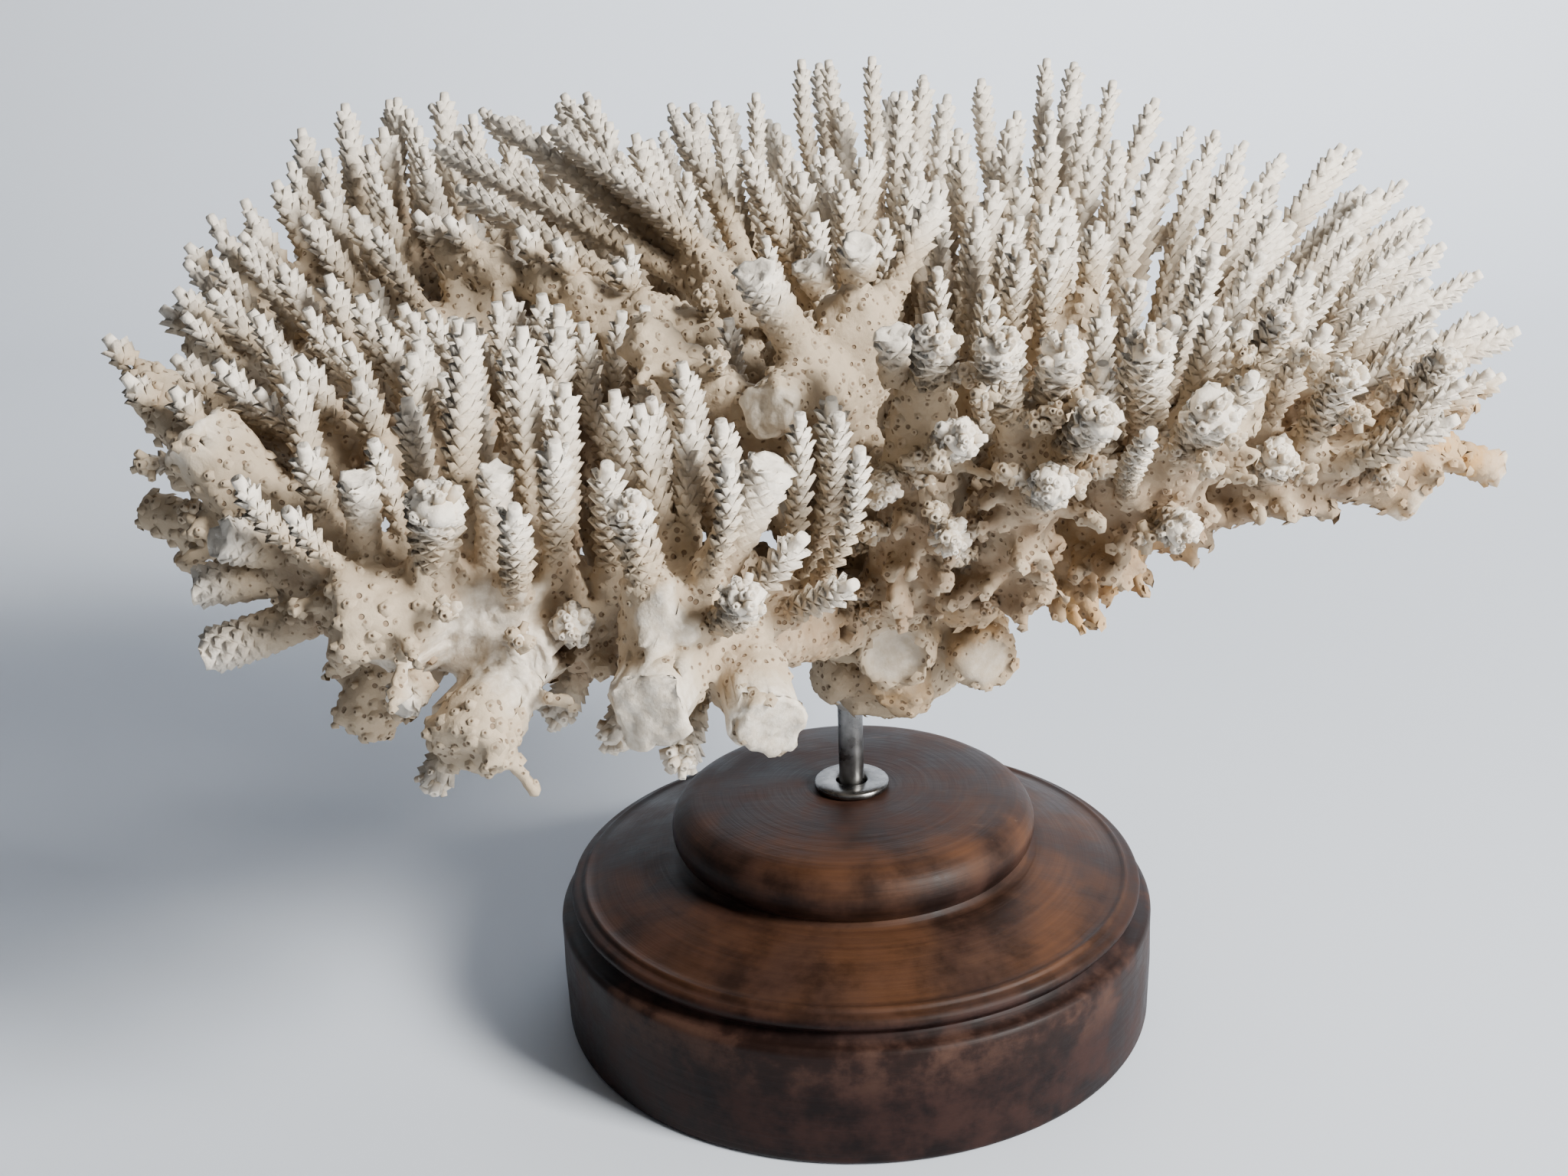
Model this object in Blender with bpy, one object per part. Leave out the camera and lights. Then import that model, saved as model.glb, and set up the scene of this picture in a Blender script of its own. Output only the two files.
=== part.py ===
"""Branching table coral on a turned wooden stand.

The coral is a short stalk from which limbs spread, each with a crop of upright fingers. A steel rod
carries it over a round wooden base. The stand's axis is the Z axis, and the table top is at Z = 0.
Places of the coral are in millimetres and are scaled when the meshes are made.
"""
import math
import random
from collections import namedtuple

import bmesh
import bpy
import numpy as np

MM = 0.001
GAP = 0.35

# Stand
BASE_RADIUS = 72.0
BODY_HEIGHT = 28.7
GROOVE_HEIGHT = 31.6
LIP_RADIUS = 69.3
TIER_HEIGHT = 41.5
FILLET_RADIUS = 43.4
CAP_RADIUS = 44.0
CAP_TOP_RADIUS = 36.5
CAP_HEIGHT = 56.0
WASHER_RADIUS = 9.0
WASHER_BORE = 3.75
WASHER_THICKNESS = 1.6
ROD_RADIUS = 3.0
ROD_FOOT = 22.0
ROD_TOP = 96.0
GLUE_RADIUS = 5.2
GLUE_BOTTOM = 77.0
GLUE_TOP = 80.8

# Coral
SEED = 11
FINGER_SPACE = 0.9
LIMB_SIDES = 6
FINGER_SIDES = 5
LIMB_RING_SPACING = 30.0
STALK_SIDES = 9
MAX_REACH = 72.0
MIN_REACH = 15.0
RIGHT_EDGE = 149.0
LEFT_EDGE = -156.0

Limb = namedtuple("Limb", "node style path root_radius end_radius first spacing")
Branch = namedtuple("Branch", "node kind base tip base_radius tip_radius")
Stem = namedtuple("Stem", "node kind centres radii")

# The stalk: places along its axis, each with the radius there
STALK_PATH = [(3, -2, 80), (5, -3, 85), (9, -4, 90), (13, -4, 96),
              (16, -4, 104), (16, -3, 113), (14, -1, 122), (13, 0, 131)]
STALK_RADII = [11, 14, 18, 22, 26, 30, 35, 27]

# Limbs leave the stalk at the first point of their path. Fingers begin at the share "first" of it.
LIMBS = [
    Limb("limb_left_front", "left",
         [(-12, -18, 113), (-22, -32, 115), (-40, -57, 121), (-60, -73, 128), (-86, -78, 136),
          (-108, -68, 146), (-126, -54, 158), (-138, -43, 168)], 9, 6, 0.30, 7.0),
    Limb("limb_left_front", "bare", [(-62, -75, 129), (-80, -86, 135), (-94, -92, 137)], 9.5, 9, 0, 0),
    Limb("limb_left_front", "bare", [(-58, -74, 128), (-66, -89, 121), (-70, -101, 114)], 8, 8.5, 0, 0),
    Limb("limb_front_left", "left",
         [(0, -24, 112), (-4, -36, 114), (-18, -58, 120), (-31, -78, 129), (-35, -90, 131)], 9, 9, 0.3, 7),
    Limb("limb_left_low", "bare",
         [(-18, -9, 114), (-30, -14, 116), (-60, -28, 119), (-110, -30, 125), (-153, -22, 138)], 8, 5, 0, 0),
    Limb("limb_left_low", "bare", [(-78, -31, 119), (-97, -40, 107), (-106, -43, 93)], 8, 7, 0, 0),
    Limb("limb_left_middle", "left",
         [(-16, 3, 127), (-29, 3, 131), (-50, -18, 140), (-76, -46, 149), (-102, -49, 153), (-124, -36, 158)],
         7, 4.5, 0.3, 7.2),
    Limb("limb_left_middle", "left", [(-50, -18, 140), (-80, -12, 149), (-114, -10, 159), (-141, 0, 168)],
         6, 4.5, 0.15, 7.8),
    Limb("limb_left_back", "left",
         [(-8, 16, 124), (-20, 23, 128), (-48, 27, 146), (-88, 27, 160), (-122, 33, 168), (-146, 32, 175)],
         8, 4.5, 0.3, 7.8),
    Limb("limb_left_back", "left", [(-52, 29, 148), (-82, 52, 160), (-110, 64, 168), (-132, 72, 172)],
         6, 4.5, 0.15, 7.8),
    Limb("limb_back_left", "right",
         [(0, 24, 122), (-4, 36, 127), (-20, 56, 144), (-46, 88, 162)], 8, 5, 0.2, 7.6),
    Limb("limb_back_left", "right", [(-18, 54, 143), (-50, 58, 158), (-86, 80, 169)], 6.5, 4.5, 0.2, 7.6),
    Limb("limb_back", "right", [(13, 26, 122), (13, 38, 127), (12, 62, 146), (4, 96, 164)], 8, 5, 0.2, 7.6),
    Limb("limb_back_right", "right",
         [(24, 22, 122), (31, 33, 126), (44, 56, 142), (58, 92, 158)], 8, 5, 0.2, 7.6),
    Limb("limb_right_back", "right",
         [(33, 12, 120), (44, 20, 125), (72, 38, 138), (104, 62, 148)], 8, 5, 0.2, 7.6),
    Limb("limb_right_back", "right", [(62, 32, 134), (96, 32, 143), (126, 38, 149)], 6.5, 4.5, 0.2, 7.6),
    Limb("limb_right", "right", [(38, 1, 120), (50, 3, 125), (76, 8, 135), (110, 9, 142), (137, 5, 145)],
         9, 5, 0.2, 7.2),
    Limb("limb_right_front", "right",
         [(38, -9, 116), (49, -13, 121), (72, -26, 134), (102, -26, 141), (128, -14, 144)],
         9.5, 5.5, 0.2, 7.0),
    Limb("limb_front_right", "right",
         [(34, -19, 116), (42, -27, 121), (56, -38, 134), (68, -46, 149), (77, -45, 158)],
         8.5, 5.5, 0.3, 6.5),
    Limb("limb_front_middle", "right", [(23, -28, 115), (28, -37, 121), (34, -50, 138), (38, -58, 154)],
         8.5, 6.5, 0.45, 7),
    Limb("limb_front", "right",
         [(10, -28, 115), (11, -40, 124), (14, -53, 144), (15, -58, 162)], 8.5, 7, 0.5, 7),
    Limb("limb_centre", "bare", [(3, -18, 132), (1, -24, 140), (-2, -33, 154), (-4, -42, 166)], 9, 8.5, 0, 0),
    Limb("limb_centre", "bare", [(-2, -33, 154), (2, -35, 168), (3, -37, 179)], 8, 8.5, 0, 0),
    Limb("limb_centre", "bare",
         [(-3, -36, 158), (-17, -43, 160), (-30, -46, 170), (-41, -48, 179)], 6.5, 5.5, 0, 0),
    Limb("limb_centre_left", "sweep",
         [(-7, -6, 132), (-12, -12, 142), (-20, -20, 162), (-31, -24, 173), (-56, -20, 181), (-80, -10, 187)],
         6.5, 2.8, 0.45, 6.5),
    Limb("limb_centre_back", "right",
         [(5, 6, 134), (3, 12, 143), (-2, 20, 158), (-8, 30, 170)], 8, 5, 0.25, 7),
    Limb("limb_centre_back", "bare", [(3, 12, 143), (-8, 9, 158), (-22, 7, 172)], 6.5, 5, 0, 0),
    Limb("limb_centre_right", "right",
         [(22, -4, 134), (27, -5, 143), (36, -6, 152), (52, -6, 166)], 8, 5, 0.25, 7),
    Limb("limb_centre_far", "right",
         [(20, 10, 134), (26, 18, 143), (34, 28, 154), (44, 36, 166)], 8, 5, 0.25, 7),
]

# Branches that show singly: the knobs, broken stubs and thick fingers of the near side
BRANCHES = [
    Branch("limb_left_front", "stub", (-108, -70, 148), (-124, -66, 166), 7.0, 7.5),
    Branch("limb_left_front", "stub", (-102, -74, 143), (-115, -85, 151), 5.2, 5.0),
    Branch("limb_left_front", "stub", (-100, -74, 139), (-123, -80, 140), 5.2, 4.6),
    Branch("limb_left_front", "stub", (-94, -78, 134), (-121, -84, 128), 5.4, 5.0),
    Branch("limb_left_front", "finger", (-98, -68, 150), (-105, -63, 176), 4.4, 3.0),
    Branch("limb_left_front", "stub", (-88, -82, 146), (-87, -89, 163), 4.2, 4.0),
    Branch("limb_left_front", "knob", (-77, -82, 142), (-72, -95, 160), 6.0, 6.0),
    Branch("limb_left_front", "finger", (-74, -79, 138), (-67, -77, 187), 4.8, 3.2),
    Branch("limb_left_front", "stub", (-67, -80, 136), (-63, -85, 163), 4.2, 3.8),
    Branch("limb_left_front", "finger", (-62, -66, 134), (-60, -62, 183), 4.2, 3.0),
    Branch("limb_left_front", "finger", (-55, -68, 131), (-52, -67, 173), 4.2, 3.0),
    Branch("limb_left_front", "knob", (-52, -72, 128), (-51, -87, 133), 4.8, 4.4),
    Branch("limb_left_front", "stub", (-72, -82, 131), (-83, -95, 121), 4.8, 4.4),
    Branch("limb_left_front", "knob", (-66, -88, 121), (-80, -88, 102), 4.4, 3.6),
    Branch("limb_left_front", "knob", (-40, -58, 120), (-47, -70, 101), 5.0, 4.0),
    Branch("limb_left_front", "knob", (-50, -64, 122), (-59, -66, 105), 5.0, 3.6),
    Branch("limb_front_left", "finger", (-34, -72, 132), (-38, -69, 169), 4.2, 3.0),
    Branch("limb_front_left", "finger", (-31, -74, 136), (-29, -66, 165), 3.8, 3.0),
    Branch("limb_front_left", "stub", (-27, -80, 134), (-13, -84, 162), 5.0, 5.4),
    Branch("limb_front_left", "knob", (-36, -86, 132), (-38, -94, 158), 6.0, 4.4),
    Branch("limb_front_left", "finger", (-20, -80, 130), (-8, -88, 149), 4.2, 3.2),
    Branch("limb_front_left", "finger", (-14, -70, 126), (1, -83, 138), 4.6, 3.0),
    Branch("limb_front_left", "knob", (-22, -86, 128), (-18, -99, 142), 4.6, 4.4),
    Branch("limb_front_left", "stub", (-32, -84, 126), (-36, -103, 121), 8.0, 7.5),
    Branch("limb_front_left", "stub", (-22, -76, 124), (-14, -96, 115), 8.0, 7.0),
    Branch("limb_front_left", "knob", (-28, -74, 120), (-32, -90, 106), 4.8, 3.8),
    Branch("limb_centre_left", "finger", (-30, -16, 173), (-82, 2, 201), 4.2, 3.0),
    Branch("limb_centre_back", "finger", (-26, 6, 176), (-89, 18, 208), 4.4, 3.0),
    Branch("limb_centre_back", "finger", (-24, 10, 178), (-78, 29, 213), 4.2, 3.0),
    Branch("limb_centre_back", "finger", (-20, 6, 180), (-64, 22, 211), 4.2, 3.0),
    Branch("limb_centre_back", "finger", (-18, 2, 178), (-49, 8, 203), 4.2, 3.0),
    Branch("limb_centre_back", "finger", (-12, 8, 176), (-36, 25, 211), 4.2, 3.0),
    Branch("limb_centre_back", "finger", (-4, 14, 166), (-20, 14, 205), 4.2, 3.0),
    Branch("limb_centre", "stub", (-4, -42, 167), (-15, -62, 166), 6.5, 5.6),
    Branch("limb_centre", "stub", (-6, -42, 168), (-16, -57, 192), 5.4, 5.0),
    Branch("limb_centre", "stub", (1, -36, 174), (-6, -44, 191), 4.6, 4.2),
    Branch("limb_centre", "stub", (3, -37, 176), (4, -47, 195), 4.8, 4.6),
    Branch("limb_centre", "finger", (6, -32, 172), (20, -28, 200), 4.4, 3.4),
    Branch("limb_front", "stub", (12, -50, 148), (10, -65, 181), 4.6, 4.6),
    Branch("limb_front", "knob", (10, -54, 156), (7, -72, 152), 4.6, 3.0),
    Branch("limb_front", "knob", (16, -57, 163), (17, -78, 183), 5.0, 4.4),
    Branch("limb_front", "knob", (17, -58, 155), (21, -84, 166), 4.6, 4.2),
    Branch("limb_front", "knob", (15, -54, 146), (20, -76, 144), 4.6, 3.2),
    Branch("limb_front_middle", "knob", (32, -56, 154), (28, -80, 182), 5.0, 4.8),
    Branch("limb_front_middle", "knob", (38, -58, 154), (40, -77, 180), 5.0, 4.6),
    Branch("limb_front_middle", "knob", (38, -58, 150), (46, -84, 169), 4.6, 4.4),
    Branch("limb_front_middle", "knob", (35, -54, 145), (38, -82, 156), 5.0, 4.4),
    Branch("limb_front_right", "knob", (60, -42, 142), (57, -68, 178), 5.0, 4.8),
    Branch("limb_front_right", "knob", (64, -44, 146), (69, -70, 166), 5.6, 5.6),
    Branch("limb_front_right", "knob", (60, -42, 140), (66, -60, 139), 5.4, 4.4),
    Branch("limb_front_right", "knob", (76, -45, 157), (85, -55, 180), 4.8, 4.4),
    Branch("limb_right_front", "knob", (82, -27, 136), (88, -44, 149), 6.0, 4.8),
    Branch("limb_right_front", "knob", (92, -28, 139), (100, -46, 166), 4.8, 4.2),
    Branch("limb_right_front", "knob", (112, -24, 142), (122, -36, 166), 4.8, 4.4),
    Branch("limb_right_front", "stub", (108, -24, 141), (124, -25, 134), 7.0, 6.5),
    Branch("limb_right_front", "stub", (124, -15, 143), (143, -11, 135), 5.0, 4.6),
]


def unit(vector):
    """The vector at length 1."""
    vector = np.asarray(vector, float)
    return vector / (np.linalg.norm(vector) + 1e-12)


def crown_height(x, y):
    """Height of the finger tips: a tilted plate that falls away at both ends, with a hollow on the left."""
    fall = 26.0 * (x / 147.0) ** 4.5 if x > 0 else 12.0 * (x / 150.0) ** 8
    hollow = 42.0 * math.exp(-((x + 80.0) / 20.0) ** 2 - ((y - 12.0) / 24.0) ** 2)
    return 212.0 - fall - hollow - 0.27 * (72.0 - y)


def lean(style, x, y):
    """Direction in which a finger grows whose tip is over x, y."""
    if style == "left":
        rim = max(0.0, -x - 62.0) / 95.0
        behind = min(1.0, max(0.0, (y - 25.0) / 35.0))
        sideways = -46.0 * rim ** 1.4 * (1.0 - 0.8 * behind)
        away = y / 6.0
    else:
        sideways = 62.0 * (min(x, 150.0) / 147.0) ** 2.2 if x > 0 else -38.0 * (-x / 83.0) ** 1.2
        away = y / 3.7 if y > 0 else y / 2.5
    return unit((math.tan(math.radians(sideways)), math.tan(math.radians(away)), 1.0))


def smooth_path(points, count):
    """Points spread evenly along a smooth curve through the given ones, and the curve's length."""
    given = [np.array(point, float) for point in points]
    given = [2 * given[0] - given[1]] + given + [2 * given[-1] - given[-2]]
    fine = []
    for a, b, c, d in zip(given, given[1:], given[2:], given[3:]):
        for t in np.arange(24) / 24:
            fine.append(0.5 * (2 * b + (c - a) * t + (2 * a - 5 * b + 4 * c - d) * t ** 2
                               + (3 * b - a - 3 * c + d) * t ** 3))
    fine = np.array(fine + [given[-2]])
    run = np.concatenate([[0], np.cumsum(np.linalg.norm(np.diff(fine, axis=0), axis=1))])
    places = np.linspace(0, run[-1], count)
    return np.stack([np.interp(places, run, fine[:, k]) for k in range(3)], -1), run[-1]


def bent_stem(node, kind, foot, middle, tip, base_radius, tip_radius, count=4):
    """A stem on a bow from foot to tip that passes through the middle point."""
    t = np.linspace(0, 1, count)[:, None]
    control = 2 * middle - 0.5 * (foot + tip)
    centres = (1 - t) ** 2 * foot + 2 * t * (1 - t) * control + t ** 2 * tip
    return Stem(node, kind, centres, np.linspace(base_radius, tip_radius, count))


def limb_stem(limb, count=9):
    """A limb as a stem."""
    centres, _ = smooth_path(limb.path, count)
    return Stem(limb.node, "limb", centres, np.linspace(limb.root_radius, limb.end_radius, count))


def segments(stems):
    """Starts, ends and radii of all the straight pieces of the stems."""
    starts = np.concatenate([stem.centres[:-1] for stem in stems])
    ends = np.concatenate([stem.centres[1:] for stem in stems])
    radii = np.concatenate([np.maximum(stem.radii[:-1], stem.radii[1:]) for stem in stems])
    return starts, ends, radii


def distances(a, b, starts, ends):
    """Shortest distances between the segment a to b and each of many others."""
    d1, d2, r = b - a, ends - starts, a - starts
    along, across, lean_over = d1 @ d1, (d2 * d2).sum(1), (d2 * r).sum(1)
    c, mixed = r @ d1, d2 @ d1
    spread = along * across - mixed * mixed
    flat = spread < 1e-9
    s = np.where(flat, 0.0, np.clip((mixed * lean_over - c * across) / np.where(flat, 1.0, spread), 0, 1))
    t = (mixed * s + lean_over) / across
    s = np.where(t < 0, np.clip(-c / along, 0, 1), np.where(t > 1, np.clip((mixed - c) / along, 0, 1), s))
    t = np.clip(t, 0, 1)
    return np.linalg.norm(a + d1 * s[:, None] - starts - d2 * t[:, None], axis=1)


def is_clear(stem, others, space, skip=0):
    """True where the stem, without its first pieces, keeps the space to all the others."""
    if not others:
        return True
    starts, ends, radii = segments(others)
    for k in range(skip, len(stem.centres) - 1):
        reach = radii + max(stem.radii[k], stem.radii[k + 1]) + space
        if (distances(stem.centres[k], stem.centres[k + 1], starts, ends) < reach).any():
            return False
    return True


def branch_stem(branch):
    """A branch that starts on the axis of the nearest limb of its node."""
    axes = np.concatenate([smooth_path(limb.path, 41)[0] for limb in LIMBS if limb.node == branch.node])
    base, tip = np.array(branch.base, float), np.array(branch.tip, float)
    foot = axes[np.argmin(np.linalg.norm(axes - base, axis=1))]
    middle = (0.6 * base + 0.4 * foot + tip) / 2
    return bent_stem(branch.node, branch.kind, foot, middle, tip, branch.base_radius, branch.tip_radius)


def grown_finger(limb, at, across, side, rng, attempt):
    """A finger that grows from a place on a limb up to the crown."""
    jitter = np.array([rng.uniform(-0.09, 0.09) for _ in range(3)]) * (1 + 0.2 * attempt)
    sideways = side + rng.uniform(-0.3, 0.3) * (1 + 0.3 * attempt)
    reach = 45.0
    tip = at + np.array((0.0, 0.0, reach))
    for _ in range(5):
        way = unit(lean(limb.style, tip[0], tip[1]) + across * sideways * 0.26 + jitter)
        tip = at + way * reach
        reach += (crown_height(tip[0], tip[1]) - tip[2]) / max(way[2], 0.45)
        reach = max(MIN_REACH, min(MAX_REACH, reach))
    reach *= rng.uniform(0.88, 1.0) * (1 - 0.012 * attempt)
    if limb.style == "sweep":
        reach = min(reach, 16.0)
    tip = at + way * reach
    tip[0] = min(max(tip[0], LEFT_EDGE + 0.22 * max(0.0, -tip[1])), RIGHT_EDGE)
    middle = (at + tip) / 2 + across * sideways * reach * 0.06
    radius = 4.3 if limb.style == "left" else 4.0
    return bent_stem(limb.node, "finger", at, middle, tip, radius, radius * 0.76)


def grow_fingers():
    """All the branches and fingers, none of which meets a limb or finger of another node."""
    rng = random.Random(SEED)
    taken = {}
    for limb in LIMBS:
        taken.setdefault(limb.node, []).append(limb_stem(limb))
    fingers = []
    for branch in BRANCHES:
        stem = branch_stem(branch)
        fingers.append(stem)
        taken[stem.node].append(stem)
    for limb in LIMBS:
        if limb.style == "bare":
            continue
        count = 81
        line, length = smooth_path(limb.path, count)
        places = max(2, int((1 - limb.first) * length / limb.spacing))
        for k in range(places + 1):
            i = min(count - 1, int((limb.first + (1 - limb.first) * k / places) * (count - 1)))
            along = line[min(count - 1, i + 1)] - line[max(0, i - 1)]
            across = unit(np.cross(along, (0, 0, 1)))
            side = (-1, 0.35, 1, -0.35)[k % 4] if k < places else 0
            for attempt in range(9):
                stem = grown_finger(limb, line[i], across, side, rng, attempt)
                others = [other for node, stems in taken.items() if node != limb.node for other in stems]
                own = [finger for finger in fingers if finger.node == limb.node]
                if is_clear(stem, others, FINGER_SPACE) and is_clear(stem, own, -1.2, skip=1):
                    fingers.append(stem)
                    taken[limb.node].append(stem)
                    break
    return fingers


def add_tube(mesh, centres, radii, sides, pointed):
    """Add a closed tube, with a flat or a pointed far end, to the mesh."""
    rings = []
    along = unit(centres[1] - centres[0])
    right = unit(np.cross(along, (0.31, 0.93, 0.17)))
    for k, (centre, radius) in enumerate(zip(centres, radii)):
        along = unit(centres[min(k + 1, len(centres) - 1)] - centres[max(k - 1, 0)])
        right = unit(right - along * (right @ along))
        up = np.cross(along, right)
        ring = []
        for j in range(sides):
            angle = 2 * math.pi * j / sides
            place = centre + radius * (right * math.cos(angle) + up * math.sin(angle))
            ring.append(mesh.verts.new(place * MM))
        rings.append(ring)
    mesh.faces.new(rings[0][::-1])
    for lower, upper in zip(rings, rings[1:]):
        for j in range(sides):
            i = (j + 1) % sides
            mesh.faces.new((lower[j], lower[i], upper[i], upper[j]))
    if pointed:
        point = mesh.verts.new((centres[-1] + along * radii[-1]) * MM)
        for j in range(sides):
            mesh.faces.new((rings[-1][j], rings[-1][(j + 1) % sides], point))
    else:
        mesh.faces.new(rings[-1])


def solid_stem(stem):
    """The stem as its solid shows it, straight from foot to tip."""
    return Stem(stem.node, stem.kind, stem.centres[[0, -1]], stem.radii[[0, -1]])


def add_stem(mesh, stem, swell=0.0):
    """Add a limb, branch or finger, made thicker by the swell. A finger ends in a point."""
    centres = stem.centres.copy()
    radii = stem.radii + swell
    pointed = stem.kind == "finger"
    if pointed:
        centres[-1] -= unit(centres[-1] - centres[0]) * radii[-1]
    add_tube(mesh, centres, radii, LIMB_SIDES if stem.kind == "limb" else FINGER_SIDES, pointed)


def new_object(name, mesh):
    """An object with the bmesh as its mesh, faces out."""
    bmesh.ops.recalc_face_normals(mesh, faces=mesh.faces)
    data = bpy.data.meshes.new(name)
    mesh.to_mesh(data)
    mesh.free()
    shape = bpy.data.objects.new(name, data)
    bpy.context.scene.collection.objects.link(shape)
    return shape


def cut(shape, cutter):
    """Join the shape's overlapping tubes and take the cutter out of them, then drop the loose offcuts."""
    modifier = shape.modifiers.new("cut", "BOOLEAN")
    modifier.operation = "DIFFERENCE"
    modifier.solver = "EXACT"
    modifier.use_self = True
    modifier.object = cutter
    evaluated = shape.evaluated_get(bpy.context.evaluated_depsgraph_get())
    result = bpy.data.meshes.new_from_object(evaluated)
    shape.modifiers.clear()
    bpy.data.objects.remove(cutter)
    mesh = bmesh.new()
    mesh.from_mesh(result)
    bmesh.ops.remove_doubles(mesh, verts=mesh.verts, dist=0.00001)
    bmesh.ops.dissolve_degenerate(mesh, edges=mesh.edges, dist=0.00001)
    keep_largest(mesh)
    bmesh.ops.holes_fill(mesh, edges=[edge for edge in mesh.edges if edge.is_boundary])
    mesh.to_mesh(shape.data)
    mesh.free()


def keep_largest(mesh):
    """Delete all but the body with the most faces."""
    waiting = set(mesh.faces)
    bodies = []
    while waiting:
        body = {waiting.pop()}
        front = list(body)
        while front:
            face = front.pop()
            for edge in face.edges:
                for other in edge.link_faces:
                    if other in waiting:
                        waiting.remove(other)
                        body.add(other)
                        front.append(other)
        bodies.append(body)
    bodies.sort(key=len)
    loose = [vert for body in bodies[:-1] for vert in {v for face in body for v in face.verts}]
    bmesh.ops.delete(mesh, geom=loose, context="VERTS")


def material(name, colour, roughness, metallic=0.0):
    """A plain Principled material."""
    made = bpy.data.materials.new(name)
    made.use_nodes = True
    shader = made.node_tree.nodes["Principled BSDF"]
    shader.inputs["Base Color"].default_value = (*colour, 1.0)
    shader.inputs["Roughness"].default_value = roughness
    shader.inputs["Metallic"].default_value = metallic
    return made


def finish(shape, surface, crease=35.0):
    """Give a shape its material and smooth shading with creases."""
    shape.data.materials.clear()
    shape.data.materials.append(surface)
    shape.data.shade_smooth()
    shape.data.set_sharp_from_angle(angle=math.radians(crease))


def turned(name, profile, sides, ring=True):
    """A shape turned about Z from (radius, height) points: a ring, or a solid with flat ends."""
    mesh = bmesh.new()
    columns = []
    for j in range(sides):
        angle = 2 * math.pi * j / sides
        turn = (math.cos(angle), math.sin(angle))
        columns.append([mesh.verts.new((r * turn[0] * MM, r * turn[1] * MM, z * MM)) for r, z in profile])
    last = len(profile) - 1
    for j in range(sides):
        here, there = columns[j], columns[(j + 1) % sides]
        for k in range(last):
            mesh.faces.new((here[k], there[k], there[k + 1], here[k + 1]))
        if ring:
            mesh.faces.new((here[last], there[last], there[0], here[0]))
    if not ring:
        mesh.faces.new([column[0] for column in columns])
        mesh.faces.new([column[last] for column in columns])
    return new_object(name, mesh)


def make_base(wood):
    """The turned base: body, groove, domed tier and cap, with the rod's hole in its top."""
    hole = ROD_RADIUS + GAP
    profile = [
        (hole, ROD_FOOT - GAP), (hole, CAP_HEIGHT), (WASHER_RADIUS + 1.5, CAP_HEIGHT),
        (CAP_TOP_RADIUS, CAP_HEIGHT - 2.5), (CAP_RADIUS - 1.8, 50.5), (CAP_RADIUS, 46.0),
        (FILLET_RADIUS, TIER_HEIGHT), (FILLET_RADIUS + 14, 39.0),
        (LIP_RADIUS - 1, 35.0), (LIP_RADIUS, GROOVE_HEIGHT + 0.8), (LIP_RADIUS - 2.2, GROOVE_HEIGHT),
        (BASE_RADIUS - 1.6, BODY_HEIGHT + 0.8), (BASE_RADIUS, BODY_HEIGHT - 1.4), (BASE_RADIUS, 1.6),
        (BASE_RADIUS - 1.6, 0.0)]
    finish(turned("base", profile, 24, ring=False), wood)


def make_washer(steel):
    """The flat washer around the rod."""
    bottom = CAP_HEIGHT + GAP
    top = bottom + WASHER_THICKNESS
    profile = [(WASHER_BORE, top), (WASHER_RADIUS, top), (WASHER_RADIUS, bottom), (WASHER_BORE, bottom)]
    finish(turned("washer", profile, 16), steel)


def make_rod(steel):
    """The rod that stands in the base and carries the coral."""
    mesh = bmesh.new()
    ends = np.array([(0.0, 0.0, ROD_FOOT), (0.0, 0.0, ROD_TOP)])
    add_tube(mesh, ends, [ROD_RADIUS, ROD_RADIUS], 12, pointed=False)
    finish(new_object("rod", mesh), steel)


def make_glue(resin):
    """The collar of glue around the rod, just under the coral."""
    bore = ROD_RADIUS + GAP
    profile = [(bore, GLUE_TOP), (GLUE_RADIUS - 1.2, GLUE_TOP), (GLUE_RADIUS, (GLUE_TOP + GLUE_BOTTOM) / 2),
               (GLUE_RADIUS - 1.2, GLUE_BOTTOM), (bore, GLUE_BOTTOM)]
    finish(turned("glue_collar", profile, 14), resin)


def add_stalk(mesh, swell=0.0):
    """Add the stalk, made thicker by the swell."""
    centres = np.array(STALK_PATH, float)
    ends = np.zeros_like(centres)
    ends[0, 2], ends[-1, 2] = -swell, swell
    add_tube(mesh, centres + ends, np.array(STALK_RADII, float) + swell, STALK_SIDES, pointed=False)


def make_stalk(surface):
    """The coral's stalk, with a hole for the rod and its glue."""
    mesh = bmesh.new()
    add_stalk(mesh)
    shape = new_object("stalk", mesh)
    hole = bmesh.new()
    rod = np.array([(0.0, 0.0, GLUE_BOTTOM - 4), (0.0, 0.0, ROD_TOP + GAP)])
    add_tube(hole, rod, [ROD_RADIUS + GAP] * 2, 12, pointed=False)
    collar = np.array([(0.0, 0.0, GLUE_BOTTOM - 4), (0.0, 0.0, GLUE_TOP + GAP)])
    add_tube(hole, collar, [GLUE_RADIUS + GAP] * 2, 14, pointed=False)
    cut(shape, new_object("stalk_hole", hole))
    finish(shape, surface)


def make_limb(node, stems, surface):
    """A limb with its fingers, cut back where it meets the stalk and the limbs made before it."""
    own = [stem for stem in stems if stem.node == node]
    first = next(k for k, stem in enumerate(stems) if stem.node == node)
    earlier = stems[:first]
    mesh = bmesh.new()
    for stem in own:
        add_stem(mesh, stem)
    shape = new_object(node, mesh)
    cutter = bmesh.new()
    add_stalk(cutter, GAP)
    for stem in earlier:
        if not is_clear(stem, own, GAP):
            add_stem(cutter, stem, GAP)
    cut(shape, new_object(node + "_cutter", cutter))
    finish(shape, surface)


def limb_rings(limb):
    """How many rings a limb's solid has."""
    _, length = smooth_path(limb.path, 2)
    return max(3, round(length / LIMB_RING_SPACING) + 1)


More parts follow.
